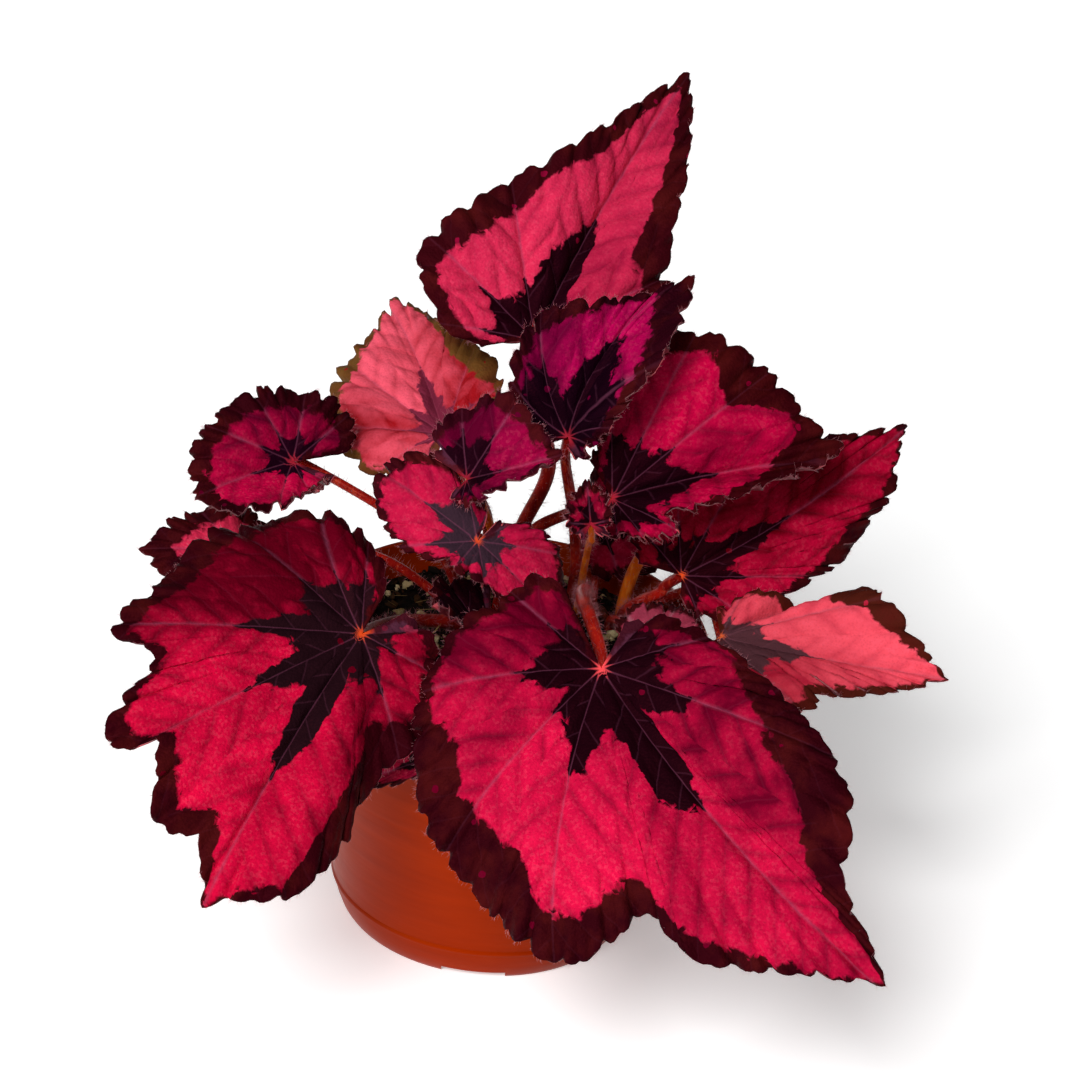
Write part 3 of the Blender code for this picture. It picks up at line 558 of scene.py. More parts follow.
def grow_blade(name, seat, heading, pitch, roll, ribs, veins, skin, steps=30, point=0.0, tooth=1.4,
               wave=0.8, waves=5, sweep=0.0, core=((0, 0.35),), rim=((0, 0.86),), deep_red_and_shade=((0, 0.4),),
               pleat=0.06, quilt=0.5, slot="crimson_leaf"):
    """A blade in mm, and what its stalk and its hairs need to know of it.

    Each rib is (angle from the tip direction, reach, slope at the seat, further slope
    gained up to the edge), as in the solid. Each vein is (angle at the seat, angle at
    the edge). core and rim are the shares of the reach where the dark core ends and
    where the dark rim starts, and the third profile how deep the red is, each at some
    angles. That depth is partly the leaf's own deeper red and partly painted shade,
    where the leaf turns from the light or lies under other leaves.
    """
    angles = [rib[0] for rib in ribs]
    angle, step_place, reach_at, margin_length = edge_places(ribs, steps, point)
    columns = len(angle) - 1
    jag = np.abs(np.sin(math.pi * step_place / 2.0)) - 0.5
    scallops = max(1, round(margin_length / steps / SCALLOP))
    fine = np.abs(np.sin(math.pi * step_place * scallops + 0.6 * np.sin(step_place * 1.7))) - 0.6
    plain_reach = reach_at(angle)
    uneven = 0.85 + 0.4 * np.sin(step_place * 1.13 + 1.0)
    reach = plain_reach + 1.3 * tooth * jag + SCALLOP_DEPTH * uneven * fine
    slope = smooth_through(angles, [rib[2] for rib in ribs], angle)
    curl = smooth_through(angles, [rib[3] for rib in ribs], angle)
    part = (angle - angles[0]) / (angles[-1] - angles[0])
    rows = max(14, round(plain_reach.max() / ROW_LENGTH))
    s = (np.arange(rows + 1) / rows) ** 0.85

    # the sheet, which leans more towards its edge
    samples = np.linspace(0.0, 1.0, LEAN_STEPS + 1)
    lean = np.radians(slope[:, None] + curl[:, None] * samples[None, :] ** 2)
    middle = 0.5 * (lean[:, 1:] + lean[:, :-1])
    start = np.zeros((columns + 1, 1))
    out, up = (np.concatenate([start, np.cumsum(way(middle), axis=1) / LEAN_STEPS], axis=1)
               * reach[:, None] for way in (np.cos, np.sin))
    k = np.minimum((s * LEAN_STEPS).astype(int), LEAN_STEPS - 1)
    f = s * LEAN_STEPS - k
    r = out[:, k] * (1.0 - f) + out[:, k + 1] * f
    z = up[:, k] * (1.0 - f) + up[:, k + 1] * f
    a = np.radians(angle[:, None] + sweep * (1.0 - s)[None, :])
    z = z + wave * np.sin(2.0 * math.pi * waves * part)[:, None] * s[None, :] ** 3
    points = np.stack([r * np.cos(a), r * np.sin(a), z], axis=2)

    # where each point lies between the veins
    reached = reach[:, None] * s[None, :]
    flat_angle = np.radians(np.broadcast_to(angle[:, None], reached.shape))
    flat = np.stack([reached * np.cos(flat_angle), reached * np.sin(flat_angle)], axis=2)
    lobe = (rows + 1) * 2 // 3
    margin = away_from(np.concatenate([flat[:, -1], flat[0, lobe:], flat[-1, lobe:]]), flat)
    sector = np.zeros_like(reached)
    width = np.zeros_like(reached)
    for row in range(rows + 1):
        at = np.array([v[0] + (v[1] - v[0]) * s[row] for v in veins])
        at = np.concatenate([[at[0] - VEIN_FAN], at, [at[-1] + VEIN_FAN]])
        place = np.interp(angle, at, np.arange(len(at)))
        sector[:, row] = place + 10.0
        gap = np.radians(np.diff(at))[np.minimum(place.astype(int), len(at) - 2)]
        width[:, row] = reached[:, row] * gap
    beside = np.abs(sector - np.round(sector))
    off_vein = beside * width
    half = np.floor(sector * 2.0)
    phase = (reached - BRANCH_SLANT * off_vein) / BRANCH_SPACING + BRANCH_SHIFT * half
    phase = phase + 0.12 * np.sin(0.23 * reached + 2.0 * half)
    lobes = np.abs(np.sin(math.pi * phase)) ** 0.6

    # how far each point is inside the dark core and the dark rim
    core_depth = (np.interp(angle, *zip(*core)) * plain_reach)[:, None] - reached
    core_depth = core_depth + CORE_LOBE * (0.6 - lobes)
    core_depth += CORE_ALONG_VEIN * np.exp(-(off_vein / 0.8) ** 2)
    rim_depth = reached - (np.interp(angle, *zip(*rim)) * plain_reach)[:, None]
    rim_depth = rim_depth + RIM_LOBE * (lobes - 0.6)
    side = away_from(np.concatenate([flat[0, 2:], flat[-1, 2:]]), flat)
    rim_depth[:, 2:] = np.maximum(rim_depth[:, 2:], SIDE_RIM - side[:, 2:])
    # how deep the red is at each point: partly the leaf's own deeper red, partly painted shade
    depth = np.repeat(np.interp(angle, *zip(*deep_red_and_shade))[:, None], rows + 1, axis=1)

    # veins sink, the tissue between them puffs up, and the edge ruffles
    grown = np.clip(reached / 10.0, 0.0, 1.0)
    relief = pleat * np.minimum(width, WIDEST_PLEAT) * (1.0 - (1.0 - 2.0 * beside) ** 2) * grown
    relief *= 1.0 - 0.6 * s[None, :] ** 4
    relief -= VEIN_GROOVE * np.exp(-(off_vein / VEIN_WIDTH) ** 2) * grown
    puff = quilt * (lobes - 0.6) * grown * np.clip(off_vein / 2.5, 0.0, 1.0)
    relief += puff * (1.0 - 0.5 * s[None, :] ** 4)
    ruffle = np.sin(math.pi * step_place * 1.31) + 0.7 * np.sin(math.pi * step_place * 2.3 + 1.1)
    relief += RUFFLE * ruffle[:, None] * s[None, :] ** 7
    normal = np.cross(np.gradient(points, axis=1), np.gradient(points, axis=0))
    normal[:, 0] = normal[:, 1:4].mean(axis=(0, 1))
    normal /= np.linalg.norm(normal, axis=2, keepdims=True)
    for column in range(columns + 1):
        for row in range(2, rows + 1):
            spot = Vector(points[column, row])
            lumpy = 0.30 * noise.noise(spot * 0.42) + 0.16 * noise.noise(spot * 0.85)
            relief[column, row] += lumpy * grown[column, row]
    points = points + normal * relief[:, :, None]

    deselect()
    bpy.ops.mesh.primitive_grid_add(x_subdivisions=columns, y_subdivisions=rows, size=1.0)
    blade = bpy.context.object
    blade.name = name + "_blade_fine"
    mesh = blade.data
    grid = np.zeros(len(mesh.vertices) * 3)
    mesh.vertices.foreach_get("co", grid)
    grid = grid.reshape(-1, 3)
    column = np.rint((grid[:, 0] + 0.5) * columns).astype(int)
    row = np.rint((grid[:, 1] + 0.5) * rows).astype(int)
    mesh.vertices.foreach_set("co", (points[column, row] * MM).ravel())
    for field, kind, key, values in (
            ("leaf_place", "FLOAT_VECTOR", "vector", [sector, reached, margin]),
            ("leaf_zone", "FLOAT_VECTOR", "vector", [core_depth, rim_depth, width]),
            ("leaf_red_and_shade", "FLOAT", "value", [depth])):
        made = mesh.attributes.new(field, kind, "POINT")
        made.data.foreach_set(key, np.stack(values, axis=2)[column, row].ravel())
    thin = blade.vertex_groups.new(name="thin")
    share = 0.55 + margin / 9.0 + 0.5 * np.exp(-(off_vein / 1.4) ** 2) * (1.0 - s[None, :])
    share = np.round(np.clip(share, 0.0, 1.0)[column, row], 1)
    for level in np.unique(share):
        thin.add(np.flatnonzero(share == level).tolist(), float(level), "REPLACE")
    bpy.ops.object.mode_set(mode="EDIT")
    bpy.ops.mesh.select_all(action="SELECT")
    bpy.ops.mesh.remove_doubles(threshold=0.000001)
    bpy.ops.mesh.flip_normals()
    bpy.ops.object.mode_set(mode="OBJECT")
    mesh.materials.append(skin)
    mesh.materials.append(underside)
    solid = blade.modifiers.new("thickness", "SOLIDIFY")
    solid.thickness = BLADE_THICKNESS * MM
    solid.offset = 0.0
    solid.vertex_group = "thin"
    solid.material_offset = 1
    solid.material_offset_rim = 1
    apply_all(blade)
    bpy.ops.object.shade_smooth()
    blade.rotation_euler = (math.radians(roll), math.radians(-pitch), math.radians(heading))
    blade.location = Vector(seat) * MM
    turn = np.array(blade.rotation_euler.to_matrix())
    settle(blade)
    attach(blade, "root")
    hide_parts(name + "_blade")
    outward = (points[:, -1] - points[:, -3]) @ turn.T
    outward /= np.linalg.norm(outward, axis=1, keepdims=True)
    return {"name": name, "slot": slot, "turn": turn, "seat": np.array(seat), "outward": outward,
            "edge": points[:, -1] @ turn.T + np.array(seat), "face": normal[:, -1] @ turn.T}


# Upper skin: a soft satin surface of tiny blisters, which scatter the light. Their
# crimson cells stand in a finer paler net. The core and the rim hold dark pigment
# over the red, with red flecks where it is missing. Sizes are in mm.
NET_CELL = 0.7
BLISTER = 0.75
FLECK = 3.4
BLOCK = 1.7
# GLINT is the pale pink of the painted glints on the skin's cells.
GLINT = "F4647E"
RIM_FLUSH = "4A100E"
UNDER_CLOUD = "4A0812"
UNDER_RIM = "3A1018"
SKIN_SHEEN = "FF6070"


def leaf_fields(tree):
    """What the mesh tells its skins: the place between veins, the zones, and mm off a vein."""
    spread = add(tree, "Attribute", out="Vector", attribute_name="leaf_place")
    sector, reached = add(tree, "SeparateXYZ", {0: spread}).node.outputs[:2]
    depths = add(tree, "Attribute", out="Vector", attribute_name="leaf_zone")
    core_depth, rim_depth, width = add(tree, "SeparateXYZ", {0: depths}).node.outputs
    beside = add(tree, "Math", (sector, 0.5), operation="PINGPONG")
    off_vein = add(tree, "Math", (beside, width), operation="MULTIPLY")
    return sector, reached, core_depth, rim_depth, off_vein


def leaf_skin(name, zone, deep, core, rim, glow, mauve="864460", flecks=0.08, star=4.0):
    """The upper skin of a blade: zone and deep are its red, deep also standing for painted shade,
    glow the star at its seat.
    """
    skin, tree, shader, place = new_material(name)
    sector, reached, core_depth, rim_depth, off_vein = leaf_fields(tree)

    # mm from the nearest branch vein
    halves = add(tree, "Math", (sector, 2.0), operation="MULTIPLY")
    halves = add(tree, "Math", (halves,), operation="FLOOR")
    shift = add(tree, "Math", (halves, BRANCH_SHIFT), operation="MULTIPLY")
    slant = add(tree, "Math", (off_vein, -BRANCH_SLANT, reached), operation="MULTIPLY_ADD")
    phase = add(tree, "Math", (slant, 1.0 / BRANCH_SPACING, shift), operation="MULTIPLY_ADD")
    off_branch = add(tree, "Math", (phase, 0.5), operation="PINGPONG")
    off_branch = add(tree, "Math", (off_branch, BRANCH_WIDTH), operation="MULTIPLY")

    # the red: deeper in the leaf's dusky parts, partly its own deeper red and partly painted
    # shade; painted shade along the side veins and painted light on the puffed tissue between
    # them; and its cells, with painted glints on some, stronger where the red is brighter
    clouds = add(tree, "TexNoise", {"Vector": place, "Scale": 70.0, "Detail": 5.0,
        "Roughness": 0.6})
    deep_red_and_shade = add(tree, "Attribute", out="Fac", attribute_name="leaf_red_and_shade")
    puffed = add(tree, "MapRange", (off_branch, 0.0, 1.6, 0.78, 1.02))
    bright_red_and_light = add(tree, "Math", (puffed, deep_red_and_shade), operation="SUBTRACT")
    cloudy = add(tree, "MapRange", (clouds, 0.35, 0.65, -0.32, 0.14))
    bright_red_and_light = add(tree, "Math", (bright_red_and_light, cloudy), operation="ADD", use_clamp=True)
    colour = add(tree, "Mix", {0: bright_red_and_light, 6: linear(deep), 7: linear(zone)}, **COLOURS)
    cells = add(tree, "TexVoronoi", {"Vector": place, "Scale": 1000.0 / NET_CELL}).node
    dots = add(tree, "MapRange", (cells.outputs["Distance"], 0.5, 0.1, 0.0, 0.22))
    glints = add(tree, "SeparateColor", {"Color": cells.outputs["Color"]})
    glints = add(tree, "MapRange", (glints, 0.6, 1.0, 0.0, 0.12))
    glints = add(tree, "Math", (glints, bright_red_and_light), operation="MULTIPLY")

    # mauve smudges along the main veins
    patches = add(tree, "TexNoise", {"Vector": place, "Scale": 420.0, "Detail": 3.0})
    smudge = add(tree, "MapRange", (off_vein, 0.9, 0.1, 0.0, 0.5))
    smudge = add(tree, "Math", (smudge, patches), operation="MULTIPLY")

    # dark core and rim, with a torn border
    torn = add(tree, "TexNoise", {"Vector": place, "Scale": 260.0, "Detail": 5.0,
        "Roughness": 0.62})
    ragged = add(tree, "Math", (torn, 7.0, -3.5), operation="MULTIPLY_ADD")
    blocks = add(tree, "TexVoronoi", {"Vector": place, "Scale": 1000.0 / BLOCK}, out="Color")
    blocks = add(tree, "SeparateColor", {"Color": blocks})
    ragged = add(tree, "Math", (blocks, 2.2, ragged), operation="MULTIPLY_ADD")
    ragged = add(tree, "Math", (ragged, 1.1), operation="SUBTRACT")
    core_edge = add(tree, "Math", (core_depth, ragged), operation="ADD")
    core_mask = add(tree, "MapRange", (core_edge, -0.5, 0.8))
    rim_edge = add(tree, "Math", (ragged, 0.6, rim_depth), operation="MULTIPLY_ADD")
    rim_mask = add(tree, "MapRange", (rim_edge, -0.5, 0.6))
    flushed = add(tree, "MapRange", (clouds, 0.45, 0.62, 0.0, 0.5))
    rim_tone = add(tree, "Mix", {0: flushed, 6: linear(rim), 7: linear(RIM_FLUSH)}, **COLOURS)
    dark = add(tree, "Math", (core_mask, rim_mask), operation="MAXIMUM")
    bare = add(tree, "TexVoronoi", {"Vector": place, "Scale": 1000.0 / FLECK}).node
    chosen = add(tree, "SeparateColor", {"Color": bare.outputs["Color"]})
    chosen = add(tree, "Math", (chosen, flecks), operation="LESS_THAN")
    size = add(tree, "Math", (patches, 0.5), operation="MULTIPLY")
    spot = add(tree, "Math", (bare.outputs["Distance"], size), operation="LESS_THAN")
    spot = add(tree, "Math", (spot, chosen), operation="MULTIPLY")
    spot = add(tree, "Math", (spot, dark), operation="MULTIPLY")

    # veins over the dark zones, and the warm star where they meet the stalk
    thread = add(tree, "MapRange", (off_vein, 0.36, 0.1, 0.0, 0.24))
    twig = add(tree, "MapRange", (off_branch, 0.3, 0.08, 0.0, 0.07))
    lines = add(tree, "Math", (thread, twig), operation="MAXIMUM")
    shown = add(tree, "Math", (dark, 0.55, 0.45), operation="MULTIPLY_ADD")
    shown = add(tree, "Math", (rim_mask, -0.75, shown), operation="MULTIPLY_ADD")
    lines = add(tree, "Math", (lines, shown), operation="MULTIPLY")
    far = add(tree, "Math", (off_vein, 6.0, reached), operation="MULTIPLY_ADD")
    warm = add(tree, "MapRange", (far, star, star * 0.25))
    for mask, tint in (
            (dots, linear(deep)), (glints, linear(GLINT)), (smudge, linear(mauve)),
            (core_mask, linear(core)), (rim_mask, rim_tone), (spot, linear(deep)),
            (lines, linear(mauve)), (warm, linear(glow))):
        colour = add(tree, "Mix", {0: mask, 6: colour, 7: tint}, **COLOURS)

    rough = add(tree, "MapRange", (patches, 0.3, 0.7, 0.46, 0.6))
    blisters = add(tree, "TexVoronoi", {"Vector": place, "Scale": 1000.0 / BLISTER})
    raised = add(tree, "Bump", {"Height": blisters, "Strength": 0.5, "Distance": 0.00025},
        out="Normal", invert=True)
    twigs = add(tree, "MapRange", (off_branch, 0.0, 0.8))
    raised = add(tree, "Bump", {"Height": twigs, "Strength": 0.35, "Distance": 0.0002,
        "Normal": raised}, out="Normal")
    feed(tree, shader, {"Base Color": colour, "Roughness": rough, "Specular IOR Level": 0.05,
        "Specular Tint": linear(SKIN_SHEEN), "Normal": raised})
    return skin


def under_skin(name, flesh, veins):
    """The under skin of a blade: matter and redder, with its raised veins paler."""
    skin, tree, shader, place = new_material(name)
    rim_depth, off_vein = leaf_fields(tree)[3:]
    clouds = add(tree, "TexNoise", {"Vector": place, "Scale": 240.0, "Detail": 4.0})
    dim = add(tree, "MapRange", (clouds, 0.35, 0.7, 0.0, 0.6))
    colour = add(tree, "Mix", {0: dim, 6: linear(flesh), 7: linear(UNDER_CLOUD)}, **COLOURS)
    edge = add(tree, "MapRange", (rim_depth, -1.5, 1.5, 0.0, 0.75))
    colour = add(tree, "Mix", {0: edge, 6: colour, 7: linear(UNDER_RIM)}, **COLOURS)
    thread = add(tree, "MapRange", (off_vein, 1.0, 0.35, 0.0, 0.8))
    colour = add(tree, "Mix", {0: thread, 6: colour, 7: linear(veins)}, **COLOURS)
    cells = add(tree, "TexVoronoi", {"Vector": place, "Scale": 1000.0 / BLISTER})
    raised = add(tree, "Bump", {"Height": cells, "Strength": 0.3, "Distance": 0.0002}, out="Normal")
    feed(tree, shader, {"Base Color": colour, "Roughness": 0.5, "Normal": raised})
    return skin


underside = under_skin("begonia leaf underside", "8E1426", "B8404A")

# Stalks: round fleshy petioles that rise from plain holes in the soil. Each follows the
# same way as its solid, and thins towards its blade.
STALK_DEPTH = 11.0
STALK_SIDES = 20
SOLID_BLADE = 0.8
GAP = 0.3


def stalk_flesh(name, flesh, shade, streak):
    """Juicy stalk tissue: it lets some light in, and pale streaks run up it."""
    skin, tree, shader, place = new_material(name)
    drawn = add(tree, "Mapping", {"Vector": place, "Scale": (1.0, 1.0, 0.12)})
    streaks = add(tree, "TexNoise", {"Vector": drawn, "Scale": 1100.0, "Detail": 3.0})
    clouds = add(tree, "TexNoise", {"Vector": place, "Scale": 120.0, "Detail": 3.0})
    dim = add(tree, "MapRange", (clouds, 0.35, 0.65))
    colour = add(tree, "Mix", {0: dim, 6: linear(flesh), 7: linear(shade)}, **COLOURS)
    lit = add(tree, "MapRange", (streaks, 0.52, 0.7, 0.0, 0.55))
    colour = add(tree, "Mix", {0: lit, 6: colour, 7: linear(streak)}, **COLOURS)
    ridged = add(tree, "Bump", {"Height": streaks, "Strength": 0.3, "Distance": 0.0002},
        out="Normal")
    feed(tree, shader, {"Base Color": colour, "Roughness": 0.34, "IOR": 1.4,
        "Specular IOR Level": 0.3, "Specular Tint": linear("FF8070"), "Subsurface Weight": 0.25,
        "Subsurface Radius": (0.002, 0.0006, 0.0003), "Subsurface Scale": 1.0, "Normal": ridged})
    return skin


red_flesh = stalk_flesh("begonia stalk, dark red", "A61A12", "6A0A0A", "C84A2E")
orange_flesh = stalk_flesh("begonia stalk, orange", "DC6814", "B44810", "EE9640")
STALK_SKINS = {"red_stalk": red_flesh, "orange_stalk": orange_flesh}


def grow_stalk(blade, foot, via, thick, approach=(-0.6, 0.0, -0.8), drop=0.0, slot="red_stalk"):
    """A stalk from its hole at foot, past the via points, to under the blade, and its line."""
    name = blade["name"]
    radius = thick / 2.0
    down = blade["turn"] @ np.array([0.0, 0.0, -1.0])
    arrive = blade["turn"] @ np.array(approach)
    arrive = arrive / np.linalg.norm(arrive)
    end = blade["seat"] + down * (SOLID_BLADE / 2.0 + GAP + radius * 0.35 + drop)
    top = soil_height(*foot)
    way = [(*foot, height) for height in (SOIL_TOP - STALK_DEPTH, top - 1.0, top + 2.5)]
    way += list(via) + [tuple(end + arrive * 7.0 + down * 2.0), tuple(end)]
    way = np.array(way, dtype=float)
    spans = np.sqrt(np.linalg.norm(np.diff(way, axis=0), axis=1))
    steps = np.concatenate([[0.0], np.cumsum(spans)])
    spots = np.concatenate([steps[:2], np.linspace(steps[2], steps[-1], 12 * (len(way) - 3) + 1)])
    line = np.zeros((len(spots), 3))
    for axis in range(3):
        tangent = np.gradient(way[:, axis], steps)
        line[:, axis] = through(steps, way[:, axis], tangent, spots)
    line[:3] = way[:3]
    curve = bpy.data.curves.new(name, "CURVE")
    curve.dimensions = "3D"
    curve.bevel_depth = radius * MM
    curve.bevel_resolution = STALK_SIDES // 4 - 1
    curve.use_fill_caps = True
    spline = curve.splines.new("POLY")
    spline.points.add(len(line) - 1)
    share = np.linspace(0.0, 1.0, len(line))
    swell = 1.0 - 0.22 * share + 0.03 * np.sin(9.0 * share + foot[0])
    for i, point in enumerate(line):
        spline.points[i].co = (*(point * MM), 1.0)
        spline.points[i].radius = swell[i]
    stalk = bpy.data.objects.new(name + "_petiole_fine", curve)
    bpy.context.scene.collection.objects.link(stalk)
    pick(stalk)
    bpy.ops.object.convert(target="MESH")
    bpy.ops.object.shade_smooth()
    stalk.data.materials.clear()
    stalk.data.materials.append(STALK_SKINS[slot])
    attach(stalk, "root")
    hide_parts(name + "_petiole")
    return {"line": line, "radius": radius * swell}


# Hairs: soft rosy bristles, half clear, that stand along every margin and all over the
# stalks. One is modelled, and bent copies of it make up each leaf's coat.
HAIR_RADIUS = 0.035
hairs_skin, tree, shader, place = new_material("soft plant hair")
tone = add(tree, "TexNoise", {"Vector": place, "Scale": 300.0})
colour = add(tree, "Mix", {0: tone, 6: linear("8E2434"), 7: linear("D07884")}, **COLOURS)
feed(tree, shader, {"Base Color": colour, "Roughness": 0.45, "Subsurface Weight": 0.3,
    "Subsurface Radius": (0.001, 0.0007, 0.0006), "Subsurface Scale": 1.0})
deselect()
bpy.ops.mesh.primitive_circle_add(vertices=3, radius=MM, fill_type="NGON")
bristle = bpy.context.object
edit_edges()
draw_rings([(1.0, 0.0), (0.75, 0.5), (0.15, 1.0)])
bristle_shape = np.array([vertex.co for vertex in bristle.data.vertices]) / MM
bristle_faces = [tuple(face.vertices) for face in bristle.data.polygons]
bpy.data.objects.remove(bristle)


def grow_hairs(blade, stalk, on_margin=1.5, on_stalk=0.85, long=1.5):
    """The hairs of one leaf: so many to a mm of its margin, and to a square mm of its stalk."""
    name, slot, edge = blade["name"], blade["slot"], blade["edge"]
    lengths = np.linalg.norm(np.diff(edge, axis=0), axis=1)
    count = int(on_margin * lengths.sum())
    at = draw.random(count) * (len(edge) - 1)
    i = at.astype(int)
    f = (at - i)[:, None]
    roots = edge[i] * (1.0 - f) + edge[i + 1] * f - blade["outward"][i] * 0.15
    ways = blade["outward"][i] + 0.45 * draw.standard_normal((count, 3)) + 0.25 * blade["face"][i]
    sizes = long * (0.45 + 0.75 * draw.random(count))

    line, radius = stalk["line"], stalk["radius"]
    spans = np.diff(line, axis=0)
    run = np.linalg.norm(spans, axis=1)
    open_air = line[:-1, 2] > soil_height(line[0, 0], line[0, 1]) + 1.0
    count = int(on_stalk * (run * open_air).sum() * 2.0 * math.pi * radius.mean())
    weight = run * open_air
    i = draw.choice(len(run), count, p=weight / weight.sum())
    along = spans[i] / run[i, None]
    side = np.cross(along, draw.standard_normal((count, 3)))
    side /= np.linalg.norm(side, axis=1, keepdims=True)
    spot = line[i] + spans[i] * draw.random((count, 1)) + side * (radius[i, None] - 0.06)
    roots = np.concatenate([roots, spot])
    ways = np.concatenate([ways, side + 0.3 * draw.standard_normal((count, 3)) + 0.15 * along])
    sizes = np.concatenate([sizes, long * 1.25 * (0.45 + 0.8 * draw.random(count))])

    ways /= np.linalg.norm(ways, axis=1, keepdims=True)
    across = np.cross(ways, draw.standard_normal(ways.shape))
    across /= np.linalg.norm(across, axis=1, keepdims=True)
    third = np.cross(ways, across)
    tall = bristle_shape[:, 2]
    bend = (0.35 * draw.standard_normal(len(ways)))[:, None] * tall ** 2
    body = roots[:, None] + ways[:, None] * (tall[None] * sizes[:, None])[:, :, None]
    sideways = bristle_shape[None, :, 0] * HAIR_RADIUS + bend * sizes[:, None]
    body += across[:, None] * sideways[:, :, None]
    body += third[:, None] * (bristle_shape[None, :, 1] * HAIR_RADIUS)[:, :, None]
    links = []
    for k in range(len(ways)):
        links += [tuple(v + k * len(bristle_shape) for v in face) for face in bristle_faces]
    coat = new_piece(name + "_hairs", body.reshape(-1, 3), links, hairs_skin)
    coat.data.shade_smooth()
    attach(coat, "root")


# Leaf 1: the topmost leaf, its pointed tip up and to the right.
skin = leaf_skin("begonia leaf 1", "C6264A", "78062A", "1A020A", "2E040A", "E8401C", star=5.5)
blade = grow_blade("leaf_01", (-1, 25, 156), 57, 44, 32, [ (-150, 12, 10, 0), (-120, 22, 15, -10),
    (-90, 30, 20, -15), (-60, 34, 20, -20), (-34, 38, 16, -20), (-19, 48, 10, -15),
    (-12, 58, 6, -12), (0, 72, 0, -12), (13, 57, 6, -15), (31, 45, 10, -20), (59, 39, 12, -25),
    (82, 38, 12, -30), (98, 31, 12, -25), (115, 23, 10, -15), (130, 14, 8, 0)], [(-112, -116),
    (-72, -74), (-36, -34), (6, 0), (41, 38), (78, 76), (112, 112)], skin, steps=45, quilt=1.3,
    point=16, wave=1.4, waves=7, pleat=0.08,
    core=((-150, 0.4), (-100, 0.45), (-60, 0.35), (-30, 0.2), (-10, 0.2), (0, 0.4), (10, 0.5),
    (25, 0.45), (35, 0.3), (50, 0.35), (75, 0.35), (80, 0.5), (90, 0.4), (130, 0.5)),
    rim=((-150, 0.8), (-30, 0.8), (-20, 0.7), (-10, 0.8), (0, 0.95), (10, 0.85), (25, 0.9),
    (35, 0.8), (65, 0.8), (75, 0.85), (100, 0.85), (130, 0.75)),
    deep_red_and_shade=((-150, 0.4), (-15, 0.35), (0, 0.3), (10, 0.1), (50, 0.0), (130, 0.1)))
stalk = grow_stalk(blade, (-3.4, 20.2), [(0, 24, 100), (6, 27, 120)], 4.2)
grow_hairs(blade, stalk)

# Leaf 2: folded along its midrib, at the plant's upper centre, more magenta than the rest.
skin = leaf_skin("begonia leaf 2", "C00654", "5A0028", "12020C", "20020A", "A02030")
blade = grow_blade("leaf_02", (10, -6, 144), 39, 47, 45, [ (-140, 5, 20, 0), (-105, 7, 25, 5),
    (-70, 8, 30, 10), (-45, 12, 35, 10), (-22, 22, 40, 5), (-9, 34, 20, 0), (0, 42, 0, -8),
    (12, 38, 2, -10), (25, 35, 5, -15), (49, 32, 8, -20), (68, 26, 10, -20), (88, 19, 12, -15),
    (110, 14, 10, -5), (140, 8, 8, 0)], [(-80, -80), (-42, -42), (-13, -13), (10, 3), (52, 50),
    (84, 84), (118, 118)], skin, steps=37, point=10, wave=1.0, waves=7, sweep=16,
    core=((-140, 0.9), (-20, 0.8), (-10, 0.5), (10, 0.6), (25, 0.45), (35, 0.35), (60, 0.7),
    (140, 0.8)),
    rim=((-140, 0.8), (-45, 0.75), (-20, 0.8), (0, 0.75), (5, 0.95), (20, 0.95), (45, 0.85),
    (140, 0.8)),
    deep_red_and_shade=((-140, 0.9), (-20, 0.8), (0, 0.35), (15, 0.2), (40, 0.8), (140, 0.9)))
stalk = grow_stalk(blade, (15.8, 26.0), [(16, 22, 92), (14, 12, 112)], 3.4, approach=(-0.5, -0.35,
    -0.7))
grow_hairs(blade, stalk, on_margin=2.2)

# Leaf 3: nearly level, upper left, catching the light; its rose red and olive rim are partly
# painted sheen of the light it catches.
skin = leaf_skin("begonia leaf 3", "E25468", "8C1018", "6A2034", "62401C", "C85048", mauve="A04860")
blade = grow_blade("leaf_03", (-22, 15, 131), 111, 17, -24, [ (-150, 8, 12, 0), (-110, 14, 14, -15),
    (-74, 18, 14, -25), (-56, 23, 12, -25), (-33, 30, 8, -22), (-17, 39, 4, -20), (0, 50, 0, -18),
    (12, 45, 2, -20), (23, 43, 6, -25), (43, 36, 10, -30), (60, 30, 10, -35), (77, 26, 12, -40),
    (95, 21, 10, -50), (120, 16, 8, -40), (150, 10, 6, 0)], [(-108, -108), (-66, -66), (-34, -32),
    (-3, 2), (31, 24), (62, 60), (98, 98)], skin, steps=35, pleat=0.11, quilt=0.8, point=12,
    wave=1.2, waves=6,
    core=((-150, 0.4), (-60, 0.4), (-40, 0.2), (-10, 0.3), (0, 0.4), (5, 0.4), (15, 0.25),
    (100, 0.2), (150, 0.3)),
    rim=((-150, 0.9), (-70, 0.95), (-50, 0.75), (-20, 0.7), (-10, 0.9), (0, 1.0), (15, 0.95),
    (25, 0.85), (35, 0.9), (90, 0.95), (150, 0.95)),
    deep_red_and_shade=((-150, 0.7), (-40, 0.85), (-10, 0.45), (0, 0.1), (25, 0.0), (40, 0.25), (55, 0.7),
    (90, 0.5), (150, 0.5)))
stalk = grow_stalk(blade, (-8.3, 21.1), [(-9, 24, 104)], 3.2)
grow_hairs(blade, stalk, on_margin=1.0)

